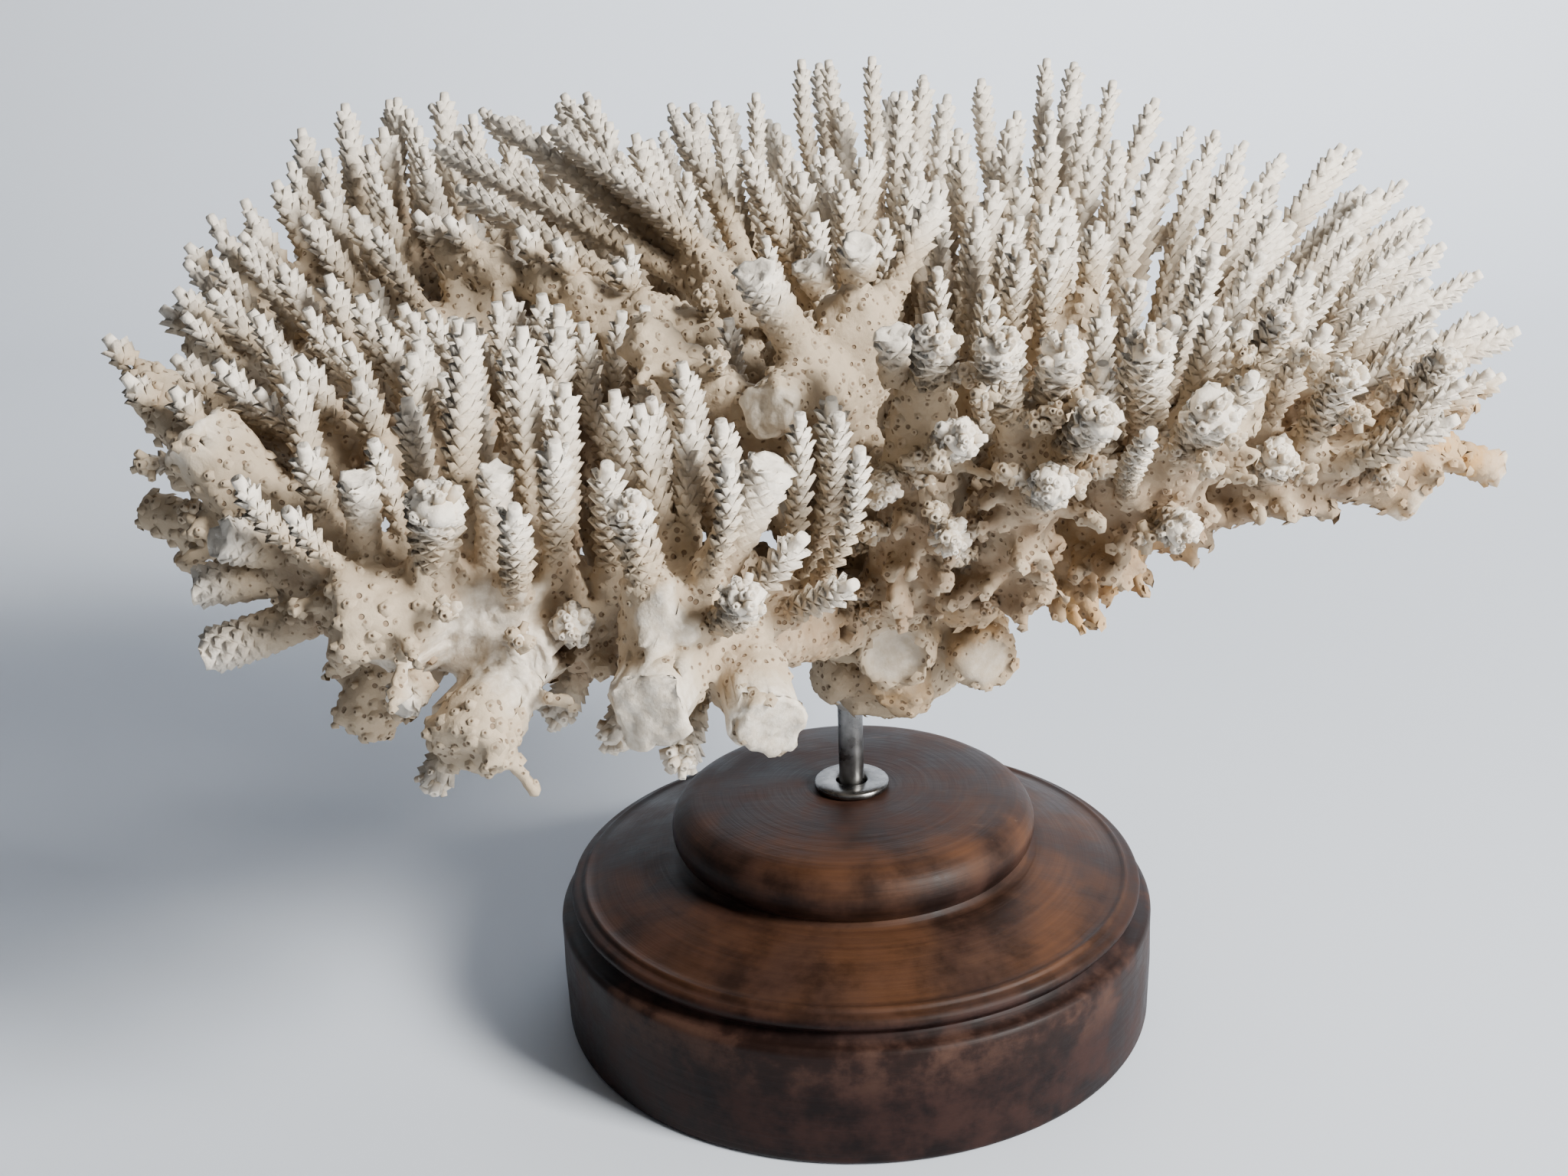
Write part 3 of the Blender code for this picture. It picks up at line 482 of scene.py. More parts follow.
def grow_fingers():
    """All the branches as given, and the fingers, each grown so that it meets no limb or finger of another
    node.
    """
    rng = random.Random(SEED)
    taken = {}
    for limb in LIMBS:
        taken.setdefault(limb.node, []).append(limb_stem(limb))
    fingers = []
    for branch in BRANCHES:
        stem = branch_stem(branch)
        fingers.append(stem)
        taken[stem.node].append(stem)
    for limb in LIMBS:
        if limb.style == "bare":
            continue
        line, length = smooth_path(limb.path, LINE_POINTS)
        last = LINE_POINTS - 1
        places = max(2, int((1 - limb.first) * length / limb.spacing))
        for k in range(places + 1):
            i = min(last, int((limb.first + (1 - limb.first) * k / places) * last))
            along = line[min(last, i + 1)] - line[max(0, i - 1)]
            across = unit(np.cross(along, (0, 0, 1)))
            side = (-1, 0.35, 1, -0.35)[k % 4] if k < places else 0
            for attempt in range(9):
                stem = grown_finger(limb, line[i], across, side, rng, attempt)
                others = [other for node, stems in taken.items() if node != limb.node for other in stems]
                own = [finger for finger in fingers if finger.node == limb.node]
                if is_clear(stem, others, FINGER_SPACE) and is_clear(stem, own, -1.2, skip=1):
                    fingers.append(stem)
                    taken[limb.node].append(stem)
                    break
    return fingers


def neighbours(node, limbs, fingers):
    """The limbs and fingers of the other nodes, and the fingers of this one."""
    own = [stem for stem in fingers if stem.node == node]
    return [stem for stem in limbs + fingers if stem.node != node], own


def fill_fingers(fingers):
    """Thinner fingers in the room that the main ones leave."""
    rng = random.Random(FILL_SEED)
    limbs = [limb_stem(limb) for limb in LIMBS]
    added = []
    for limb in LIMBS:
        if limb.style in ("bare", "sweep"):
            continue
        line, length = smooth_path(limb.path, LINE_POINTS)
        last = LINE_POINTS - 1
        first = max(0.15, limb.first - 0.1)
        for k in range(int((1 - first) * length / FILL_SPACING)):
            i = min(last, int((first + k * FILL_SPACING / length) * last))
            across = unit(np.cross(line[min(last, i + 1)] - line[max(0, i - 1)], (0, 0, 1)))
            others, own = neighbours(limb.node, limbs, fingers + added)
            for attempt in range(FILL_TRIES):
                side = rng.uniform(-FILL_SIDEWAYS, FILL_SIDEWAYS)
                stem = grown_finger(limb, line[i], across, side, rng, attempt)
                stem = stem._replace(radii=stem.radii * FILL_RADIUS / stem.radii[0])
                if is_clear(stem, others, FILL_SPACE) and is_clear(stem, own, FILL_OVERLAP, skip=1):
                    added.append(stem)
                    break
    return added


def hides_stalk(tip):
    """Whether a nub with this tip would stand in front of the stalk's scars."""
    low, high, top = STALK_FRONT
    return low < tip[0] < high and tip[1] < 5 and tip[2] < top


def limb_nubs(fingers):
    """Short nubs on the sides and undersides of the limbs."""
    rng = random.Random(FILL_SEED + 1)
    limbs = [limb_stem(limb) for limb in LIMBS]
    added = []
    for limb in LIMBS:
        line, length = smooth_path(limb.path, LINE_POINTS)
        last = LINE_POINTS - 1
        spacing = CLOSE_NUB_SPACING if limb.node in CRUSTED else NUB_SPACING
        first, share = NUB_LINE
        for k in range(int(length * share / spacing)):
            i = min(last - 1, int((first + k * spacing / length) * last))
            along = unit(line[i + 1] - line[i])
            others, own = neighbours(limb.node, limbs, fingers + added)
            for _ in range(NUB_TRIES):
                way = np.array([rng.gauss(0, 1), rng.gauss(-0.7, 1), rng.gauss(-0.3, 0.8)])
                if line[i][0] > 60:
                    way[2] = max(way[2], -0.15)
                way = unit(way - along * (way @ along) * 0.7 + along * 0.25)
                thick = limb.root_radius + (limb.end_radius - limb.root_radius) * i / last
                tip = line[i] + way * (thick + rng.uniform(*NUB_LENGTHS))
                radius = rng.uniform(*NUB_RADII)
                middle = (line[i] + tip) / 2
                stem = bent_stem(limb.node, "nub", line[i], middle, tip, radius, radius * NUB_TAPER)
                if hides_stalk(tip) or tip[2] <= LOWEST_NUB:
                    continue
                if is_clear(stem, others, 0.0) and is_clear(stem, own, NUB_OVERLAP, skip=2):
                    added.append(stem)
                    break
    return added


def knob_buds(stems):
    """Short buds on the sides of the knobs at the front and the right."""
    rng = random.Random(FILL_SEED + 2)
    added = []
    for stem in stems:
        if stem.kind != "knob" or stem.centres[-1][0] < BUDS_FROM:
            continue
        axis = unit(stem.centres[-1] - stem.centres[0])
        for _ in range(rng.choice((1, 2, 2))):
            way = unit(np.array([rng.gauss(0, 1), rng.gauss(-0.8, 0.8), rng.gauss(0.1, 0.6)]))
            way = unit(way - axis * (way @ axis) * 0.8 + axis * 0.25)
            share = rng.uniform(0.45, 0.85)
            foot = stem.centres[0] + (stem.centres[-1] - stem.centres[0]) * share
            tip = foot + way * (stem.radii[0] + rng.uniform(*BUD_LENGTHS))
            added.append(bent_stem(stem.node, "bud", foot, (foot + tip) / 2, tip, *BUD_RADII))
    return added


def in_scene(name, data):
    """A new object in the scene with the given data."""
    shape = bpy.data.objects.new(name, data)
    bpy.context.scene.collection.objects.link(shape)
    return shape


class Course:
    """A stem's centre line, read by the distance along it."""

    def __init__(self, stem):
        self.centres, self.length = smooth_path(list(stem.centres), COURSE_POINTS)
        shares = np.linspace(0, 1, COURSE_POINTS)
        self.radii = np.interp(shares, np.linspace(0, 1, len(stem.radii)), stem.radii)
        self.run = np.linspace(0, self.length, COURSE_POINTS)
        along = np.gradient(self.centres, axis=0)
        self.along = along / np.linalg.norm(along, axis=1, keepdims=True)
        right = unit(np.cross(self.along[0], SIDE_GUIDE))
        rights = []
        for way in self.along:
            right = unit(right - way * (right @ way))
            rights.append(right)
        self.right = np.array(rights)
        self.up = np.cross(self.along, self.right)

    def read(self, table, s):
        """Rows of one of the tables at the distances s."""
        return np.stack([np.interp(s, self.run, table[:, k]) for k in range(3)], -1)

    def radius(self, s):
        """Radii at the distances s."""
        return np.interp(s, self.run, self.radii)

    def place(self, angle, s, radius):
        """Points at an angle around the line and a radius from it. Past its end the line runs straight on."""
        beyond = np.maximum(0.0, s - self.length)[:, None]
        right, up = self.read(self.right, s), self.read(self.up, s)
        side = right * np.cos(angle)[:, None] + up * np.sin(angle)[:, None]
        return self.read(self.centres, s) + self.read(self.along, s) * beyond + side * radius[:, None]


def smooth_step(low, high, value):
    """0 below low, 1 above high, and a soft rise between. It falls where low is above high."""
    t = np.clip((value - low) / (high - low), 0, 1)
    return t * t * (3 - 2 * t)


def skin_caps(stem, course, body, around, end, rng):
    """Rings that close a skin: a ragged broken face on stubs and knobs, and one open cup on the others."""
    ones = np.ones(len(around))
    if stem.kind not in ("stub", "knob"):
        caps = [course.place(around, (course.length + lift) * ones, radius * ones)
                for radius, lift in ((1.3, -0.5), (1.15, 0.9))]
        caps.append(course.place(np.zeros(1), np.full(1, course.length - 0.2), np.zeros(1)))
        # The middle of the open cup is marked as a pit, for painted shade
        return caps, (1.0, 0.0, 0.3), (1.0, 1.0, 0.0)
    dome = 0.22 * float(course.radius(course.length)) if stem.kind == "knob" else -0.25
    ragged = 1 + 0.16 * np.sin(around * 2 + rng.uniform(0, 6)) + 0.10 * np.sin(around * 3 + rng.uniform(0, 6))
    caps = []
    for out, rise in ((1.04, 0.0), (0.78, 0.75), (0.45, 1.0)):
        rough = rng.uniform(-0.7, 0.7, len(around))
        radius = body(end * ones) * out * ragged * rng.uniform(0.9, 1.1, len(around))
        caps.append(course.place(around, course.length * ones + dome * rise + rough, radius))
    caps.append(course.place(np.zeros(1), np.full(1, course.length + dome - 0.3), np.zeros(1)))
    return caps, (0.9, 0.0, 1.0), (0.9, 0.0, 1.0)


def close_skin(points, growth, edge, caps, cap_growth, centre_growth):
    """Join the open edge of a skin to its caps, ring by ring, down to the point in the middle."""
    faces = []
    inner = edge
    for cap in caps:
        first = len(points)
        points = np.concatenate([points, cap])
        value = cap_growth if len(cap) > 1 else centre_growth
        growth = np.concatenate([growth, np.tile(value, (len(cap), 1))])
        outer, inner = inner, list(range(first, first + len(cap)))
        for j in range(len(edge)):
            n = (j + 1) % len(edge)
            if len(inner) > 1:
                faces.append(np.array([[outer[j], outer[n], inner[n]], [outer[j], inner[n], inner[j]]]))
            else:
                faces.append(np.array([[outer[j], outer[n], inner[0]]]))
    return points, growth, faces


def cup_skin(stem, start, rng):
    """Staggered rows of scale-like cups over a stem, from the start to its tip."""
    course = Course(stem)
    style = CUP_STYLES[stem.kind]
    knob = stem.kind == "knob"
    blunt = knob or stem.kind == "stub"
    stretch = BACK_STRETCH if stem.centres[-1][1] > BACK_FROM else 1.0
    end = course.length - (0.4 if blunt else 1.4)
    start = min(start, end - 4.0)
    columns = max(4, round(math.pi * float(np.mean(stem.radii)) / (CUP_COLUMN * stretch)))
    rows = max(4, round((end - start) / (CUP_ROW * stretch / 2)))
    step = (end - start) / rows

    def body(s):
        """Radius of the stem under its cups. It narrows at a fine tip and swells at a knob's head."""
        taper = 1.0 if blunt else np.sqrt(np.clip(1 - ((s - end + 4.5) / 7.0).clip(0) ** 2, 0.2, 1))
        swell = 1 + 0.12 * smooth_step(0.5, 1.0, (s - start) / (end - start)) if knob else 1.0
        return (course.radius(s) * style.slim - 0.75) * taper * swell

    lattice_row = np.repeat(np.arange(rows + 1), columns)
    lattice_column = np.tile(np.arange(columns), rows + 1)
    shake = rng.uniform(-1, 1, (2, len(lattice_row))) * (0.2 if knob else 0.1)
    angle = 2 * np.pi * (lattice_column + 0.5 * (lattice_row % 2) + shake[0]) / columns
    s = start + step * (lattice_row + shake[1])
    t = (s - start) / (end - start)
    push = smooth_step(style.begin, style.full, t)
    corner = course.place(angle, s, (body(s) - 0.15 * push) * np.where(lattice_row == 0, 0.35, 1.0))

    row = np.repeat(np.arange(1, rows), columns)
    column = np.tile(np.arange(columns), rows - 1)
    shift = row % 2
    left = row * columns + column
    right = row * columns + (column + 1) % columns
    top = (row + 1) * columns + (column + shift) % columns
    bottom = (row - 1) * columns + (column + shift) % columns
    sway = rng.uniform(-style.loose, style.loose, len(row))
    middle_angle = 2 * np.pi * (column + 0.5 + 0.5 * shift + sway) / columns
    middle_s = start + step * (row + rng.uniform(-style.loose, style.loose, len(row)))
    middle_t = (middle_s - start) / (end - start)
    grow = smooth_step(style.begin, style.full, middle_t) * rng.uniform(0.7, 1.3, len(row)) * style.reach
    half = np.pi / columns
    lips = []
    for turn, climb, out, lift in LIPS:
        lip_s = middle_s + 0.5 * climb * step + lift * grow * (1.0 + 0.5 * middle_t)
        radius = body(np.minimum(middle_s, end)) + 0.22 * (climb <= 0) + out * grow
        lips.append(course.place(middle_angle + 0.5 * turn * half, lip_s, radius))
    pit = course.place(middle_angle, middle_s + 0.45 * grow, np.maximum(body(middle_s) - 0.35, 0.3))

    cells = len(row)
    lip = [len(corner) + k * cells + np.arange(cells) for k in range(len(LIPS))]
    pits = len(corner) + len(LIPS) * cells + np.arange(cells)
    ring = [left, bottom, right, top]
    faces = []
    for k in range(4):
        n = (k + 1) % 4
        for face in ((ring[k], ring[n], lip[n]), (ring[k], lip[n], lip[k]), (lip[k], lip[n], pits)):
            faces.append(np.stack(face, -1))
    points = np.concatenate([corner] + lips + [pit])
    share = np.concatenate([t] + [middle_t] * (len(LIPS) + 1))
    # Pit points are marked for painted shade
    is_pit = np.arange(len(points)) >= len(points) - cells
    growth = np.stack([share, is_pit, np.zeros_like(share)], -1)

    shift = (rows - 1) % 2
    edge = []
    for c in range(columns):
        edge += [(rows - 1) * columns + c, rows * columns + (c + shift) % columns]
    around = 2 * np.pi * (np.arange(2 * columns) / (2 * columns) + 0.5 * shift / columns)
    caps = skin_caps(stem, course, body, around, end, rng)
    points, growth, closing = close_skin(points, growth, edge, *caps)
    return Patch(points, np.concatenate(faces + closing), growth)


def cup_tubes(places, ways, radii, lengths, along, foot=1.3):
    """Single cups: short open tubes with a pit, each on its place and pointing its way."""
    count = len(places)
    ways = ways / np.linalg.norm(ways, axis=1, keepdims=True)
    right = np.cross(ways, SIDE_GUIDE)
    right /= np.linalg.norm(right, axis=1, keepdims=True)
    up = np.cross(ways, right)
    turns = np.linspace(0, 2 * np.pi, CUP_SIDES, endpoint=False)
    rings = []
    for wide, high in ((foot, -0.3), (1.0, 1.0), (0.5, 0.96)):
        for turn in turns:
            side = right * math.cos(turn) + up * math.sin(turn)
            lip = high * lengths if high > 0 else np.full(count, high)
            rings.append(places + ways * lip[:, None] + side * (wide * radii)[:, None])
    rings.append(places + ways * (lengths * 0.35)[:, None])
    points = np.stack(rings, 1).reshape(-1, 3)
    faces = []
    for j in range(CUP_SIDES):
        n = (j + 1) % CUP_SIDES
        for low in (0, CUP_SIDES):
            high = low + CUP_SIDES
            faces += [(low + j, low + n, high + n), (low + j, high + n, high + j)]
        faces.append((2 * CUP_SIDES + j, 2 * CUP_SIDES + n, 3 * CUP_SIDES))
    size = 3 * CUP_SIDES + 1
    faces = (np.array(faces)[None] + size * np.arange(count)[:, None, None]).reshape(-1, 3)
    growth = np.zeros((count, size, 3))
    growth[:, :, 0] = np.asarray(along)[:, None]
    growth[:, :CUP_SIDES, 0] *= 0.6
    # The inner ring and the pit of each cup are marked for painted shade
    growth[:, 2 * CUP_SIDES:, 1] = 0.6
    growth[:, -1, 1] = 1.0
    return Patch(points, faces, growth.reshape(-1, 3))


def head_cups(stem, rng):
    """The cups that stand out all round the end of a knob or nub."""
    course = Course(stem)
    radius = float(course.radius(course.length)) * (0.74 if stem.kind == "knob" else 0.8)
    count = 24 if stem.kind == "knob" else 12
    polar = np.radians(np.linspace(12, 115, count) + rng.uniform(-22, 22, count))
    turn = 2.4 * np.arange(count) + rng.uniform(-0.7, 0.7, count)
    axis, right, up = course.along[-1], course.right[-1], course.up[-1]
    side = right * np.cos(turn)[:, None] + up * np.sin(turn)[:, None]
    ways = axis * np.cos(polar)[:, None] + side * np.sin(polar)[:, None]
    places = course.centres[-1] - axis * radius * 0.5 + ways * radius * rng.uniform(0.75, 1.0, (count, 1))
    high = 0.95 if stem.kind == "knob" else 0.6
    return cup_tubes(places, ways + axis * 0.35, rng.uniform(0.55, 1.15, count), rng.uniform(0.4, 2.3, count),
                     rng.uniform(high - 0.3, high, count))


def spread_out(points, spacing, order):
    """Indices of points, taken in the given order, that keep the spacing to each other."""
    cells = {}
    kept = []
    for i in order:
        cell = tuple(np.floor(points[i] / spacing).astype(int))
        near = [cells.get((cell[0] + a, cell[1] + b, cell[2] + c), ())
                for a in (-1, 0, 1) for b in (-1, 0, 1) for c in (-1, 0, 1)]
        if all(np.linalg.norm(points[i] - points[j]) > spacing for group in near for j in group):
            cells.setdefault(cell, []).append(i)
            kept.append(i)
    return np.array(kept, int)


def core_cups(points, normals, rng):
    """Cups spread over a limb's own body: mere rims near the stalk, tubes further out."""
    kept = spread_out(points, CUP_SPACING, rng.permutation(len(points)))
    places, normals = points[kept], normals[kept]
    outward = places - np.array((13.0, 0.0, 0.0))
    outward[:, 2] = 0
    away = np.linalg.norm(outward, axis=1)
    ways = normals + 0.5 * outward / away[:, None] + np.array((0.0, 0.0, 0.25))
    far = np.maximum(smooth_step(85.0, 135.0, away), 0.7 * smooth_step(142.0, 168.0, places[:, 2]))
    lengths = rng.uniform(0.05, 0.16, len(kept)) + far * rng.uniform(0.0, 1.1, len(kept))
    radii = rng.uniform(0.5, 0.9, len(kept))
    return cup_tubes(places, ways, radii, lengths, 0.1 + 0.25 * far, 2.1)


def add_tube(mesh, centres, radii, sides):
    """Add a closed tube to a bmesh in millimetres."""
    rings = []
    turns = [2 * math.pi * j / sides for j in range(sides)]
    right = unit(np.cross(centres[1] - centres[0], SIDE_GUIDE))
    for k, (centre, radius) in enumerate(zip(centres, radii)):
        along = unit(centres[min(k + 1, len(centres) - 1)] - centres[max(k - 1, 0)])
        right = unit(right - along * (right @ along))
        up = np.cross(along, right)
        ways = [right * math.cos(a) + up * math.sin(a) for a in turns]
        rings.append([mesh.verts.new(centre + radius * way) for way in ways])
    mesh.faces.new(rings[0][::-1])
    for lower, upper in zip(rings, rings[1:]):
        for j in range(sides):
            n = (j + 1) % sides
            mesh.faces.new((lower[j], lower[n], upper[n], upper[j]))
    mesh.faces.new(rings[-1])


def blended(name, mesh, voxel, passes):
    """Points and faces of the bmesh's tubes melted into one soft skin."""
    bmesh.ops.recalc_face_normals(mesh, faces=mesh.faces)
    data = bpy.data.meshes.new(name)
    mesh.to_mesh(data)
    mesh.free()
    shape = in_scene(name, data)
    remesh = shape.modifiers.new("melt", "REMESH")
    remesh.mode = "VOXEL"
    remesh.voxel_size = voxel
    soften = shape.modifiers.new("soften", "SMOOTH")
    soften.factor = 0.5
    soften.iterations = passes
    evaluated = shape.evaluated_get(bpy.context.evaluated_depsgraph_get())
    result = bpy.data.meshes.new_from_object(evaluated)
    points = np.empty(len(result.vertices) * 3)
    result.vertices.foreach_get("co", points)
    points = points.reshape(-1, 3)
    normals = np.empty(len(result.vertices) * 3)
    result.vertex_normals.foreach_get("vector", normals)
    faces = [tuple(polygon.vertices) for polygon in result.polygons]
    bpy.data.objects.remove(shape)
    bpy.data.meshes.remove(data)
    bpy.data.meshes.remove(result)
    return points, normals.reshape(-1, 3), faces


def lumpy(points, normals, size, height):
    """Points pushed out and in along their normals by soft noise."""
    places = [Vector(point) for point in points]
    push = [noise.noise(place / size) + 0.5 * noise.noise(place * 2.3 / size) for place in places]
    return points + normals * (np.array(push) * height)[:, None]


def core_patch(node, stems):
    """The limb's own body with the feet of its fingers."""
    mesh = bmesh.new()
    for limb in LIMBS:
        if limb.node == node:
            stem = limb_stem(limb, 13)
            add_tube(mesh, stem.centres, stem.radii * 0.97, LIMB_SIDES)
    for stem in stems:
        course = Course(stem)
        if is_fused(stem):
            share = np.linspace(0, 1, 5)
            thin = 0.45 if stem.kind == "nub" else 0.35
            s = share * course.length
            feet = course.radius(s) * (1.25 - thin * share)
        else:
            s = np.linspace(0, min(course.length * 0.5, limb_radius(node) + CORE_LIFT), 4)
            feet = stem.radii[0] * np.array([1.45, 1.3, 0.95, 0.66])
        add_tube(mesh, course.read(course.centres, s), feet, FOOT_SIDES)
        if stem.kind == "stub" and is_fused(stem):
            add_lobes(mesh, course)
    points, normals, faces = blended(node, mesh, CORE_VOXEL, 3)
    points = lumpy(points, normals, 6.0, 1.0)
    points = lumpy(points, normals, 2.6, 0.4)
    growth = np.zeros((len(points), 3))
    for break_node, place, way, size in BREAKS:
        if break_node == node:
            points = break_off(points, growth, np.array(place, float), unit(way), size)
    for hole_node, place, way, size in HOLES:
        if hole_node == node:
            points = scarred(points, growth, np.array(place, float), unit(way), size, 5.0, 0.0, 1.0)
    return Patch(points, faces, growth), normals


def is_fused(stem):
    """Whether a stem has no cups of its own: a thick broken stub, or a nub that hangs from its limb."""
    if stem.kind == "stub":
        return stem.radii[0] > FUSED_STUB
    return stem.kind == "nub" and stem.centres[-1][2] < stem.centres[0][2] + 1.0


def add_lobes(mesh, course):
    """Uneven lobes around the end of a thick broken stub."""
    radius = float(course.radius(course.length))
    for angle, out, thick in ((0.6, 0.75, 0.5), (2.0, 0.5, 0.6), (3.7, 0.95, 0.42), (5.1, 0.6, 0.55)):
        along, away = np.array([0.3, 1.0]) * course.length, np.array([0.2, out]) * radius
        ends = course.place(np.full(2, angle), along, away)
        add_tube(mesh, ends, np.array([0.6, thick]) * radius, FOOT_SIDES)


def break_off(points, growth, place, way, size):
    """Flatten the points near a broken face to a rough plane and mark them as worn."""
    offset = points - place
    level = offset @ way
    across = np.linalg.norm(offset - level[:, None] * way, axis=1)
    edge = size * np.array([1 + 0.55 * noise.noise(Vector(point) / 6.0) for point in points])
    share = smooth_step(edge, edge * 0.75, across) * (np.abs(level) < size * 0.8)
    rough = np.array([noise.noise(Vector(point) / 2.4) for point in points]) * 1.3
    growth[:, 2] = np.maximum(growth[:, 2], share)
    return points + way * (share * (rough - 0.75 * level))[:, None]


def limb_radius(node):
    """The thickest root of a node's limbs."""
    return max(limb.root_radius for limb in LIMBS if limb.node == node)


def skin_start(stem):
    """How far along a stem its cups begin: where it leaves the limb."""
    axes = [limb_stem(limb, 17) for limb in LIMBS if limb.node == stem.node]
    course = Course(stem)
    for s in np.linspace(0, course.length * 0.7, 15):
        place = course.read(course.centres, np.array([s]))[0]
        depth = min(np.min(np.linalg.norm(axis.centres - place, axis=1) - axis.radii) for axis in axes)
        if depth > 0:
            return s
    return course.length * 0.3


def stain_at(points):
    """How strongly the tan stain of the recesses shows at each point."""
    total = np.zeros(len(points))
    for centre, radius, strength in STAINS:
        away = np.linalg.norm(points - np.array(centre), axis=1) / radius
        total = np.maximum(total, strength * np.exp(-away ** 2))
    return total


class Crowd:
    """How full of limbs and fingers the space is, to tell how far a point lies in among them. That sets its
    painted shade.
    """

    def __init__(self, stems):
        self.low = np.array((-190.0, -140.0, 60.0))
        self.full = np.zeros((96, 72, 44))
        for stem in stems:
            course = Course(stem)
            s = np.arange(1.0, course.length, 2.0)
            cells = self.cells(course.read(course.centres, s))
            np.add.at(self.full, cells, np.pi * course.radius(s) ** 2 * 2.0 / CROWD_CELL ** 3)
        self.full = np.minimum(self.full, 1.0)

    def cells(self, points):
        """The cell of each point, as an index for each axis."""
        steps = ((points - self.low) / CROWD_CELL).astype(int)
        return tuple(np.clip(steps[:, k], 0, self.full.shape[k] - 1) for k in range(3))

    def depth(self, points):
        """0 in the open, up to 1 far in between the fingers, where the most painted shade goes."""
        seen = np.zeros(len(points))
        for way in CROWD_WAYS:
            way = unit(way)
            passed = np.zeros(len(points))
            for step in range(1, 9):
                passed += self.full[self.cells(points + way * CROWD_CELL * (step + 0.5))]
            seen += np.exp(-1.1 * passed)
        return 1 - smooth_step(0.14, 0.68, seen / len(CROWD_WAYS))


def join_patches(name, patches, crowd):
    """One mesh object from several patches. Their growth and how far in among the fingers they lie, for the
    painted shade, are kept as attributes.
    """
    points = np.concatenate([patch.points for patch in patches])
    growth = np.concatenate([patch.growth for patch in patches])
    faces = []
    first = 0
    for patch in patches:
        if isinstance(patch.faces, np.ndarray):
            faces += (patch.faces + first).tolist()
        else:
            faces += [tuple(v + first for v in face) for face in patch.faces]
        first += len(patch.points)
    data = bpy.data.meshes.new(name)
    data.from_pydata((points * MM).tolist(), [], faces)
    data.validate()
    data.shade_smooth()
    colour = data.color_attributes.new("growth", "FLOAT_COLOR", "POINT")
    colour.data.foreach_set("color", np.column_stack([growth, np.maximum(stain_at(points), 0.0)]).ravel())
    # How far each point lies in among the fingers, kept for the painted shade
    painted_shade = data.attributes.new("painted_shade", "FLOAT", "POINT")
    painted_shade.data.foreach_set("value", crowd.depth(points))
    return in_scene(name, data)


def dress_limb(node, stems, crowd, surface):
    """Replace a limb's solid by its core and the cups of its fingers."""
    rng = np.random.default_rng(sum(map(ord, node)))
    core, normals = core_patch(node, stems)
    whole = core.growth[:, 2] < 0.3
    patches = [core, core_cups(core.points[whole], normals[whole], rng)]
    for stem in stems:
        if is_fused(stem):
            continue
        patches.append(cup_skin(stem, skin_start(stem) + 1.0, rng))
        if stem.kind in ("knob", "nub", "bud"):
            patches.append(head_cups(stem, rng))
    shape = join_patches(node + "_skin", patches, crowd)
    shape.data.materials.append(surface)
    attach(shape, "root")
    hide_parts(node)


def scarred(points, growth, place, way, size, depth, worn, dark):
    """Sink a round scar with a raised rim, or bore a hole painted dark with shade, and mark it in the growth
    values.
    """
    offset = points - place
    level = offset @ way
    across = np.linalg.norm(offset - level[:, None] * way, axis=1)
    near = np.abs(level) < size * (2.6 if dark > 0 else 1.4)
    dish = smooth_step(size, size * 0.6, across) * near
    rim = np.exp(-((across - size * 1.08) / 1.1) ** 2) * near
    sink = dish * np.where(dark > 0, depth, level + depth)
    growth[:, 2] = np.maximum(growth[:, 2], dish * worn)
    growth[:, 1] = np.maximum(growth[:, 1], smooth_step(size, size * 0.7, across) * near * dark)
    return points + way * (rim * 1.1 - sink)[:, None]


def dress_stalk(crowd, surface):
    """The stalk's rough stump with its broken lobes, two scars and a bored hole."""
    mesh = bmesh.new()
    add_tube(mesh, np.array(STALK_PATH, float), np.array(STALK_RADII, float) * STALK_SHRINK, STALK_SIDES)
    for foot, end, radius in LOBES:
        add_tube(mesh, np.array([foot, end], float), [radius, radius * 0.9], LIMB_SIDES)
    points, normals, faces = blended("stalk", mesh, STALK_VOXEL, 4)
    points = lumpy(points, normals, 9.0, 1.8)
    points = lumpy(points, normals, 3.2, 1.0)
    growth = np.zeros((len(points), 3))
    for place, way, size, depth, worn, dark in SCARS:
        points = scarred(points, growth, np.array(place, float), unit(way), size, depth, worn, dark)
    rng = np.random.default_rng(SEED)
    smooth = (growth[:, 2] < 0.2) & (growth[:, 1] < 0.1)
    cups = core_cups(points[smooth], normals[smooth], rng)
    shape = join_patches("stalk_skin", [Patch(points, faces, growth), cups], crowd)
    shape.data.materials.append(surface)
    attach(shape, "root")
    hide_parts("stalk")


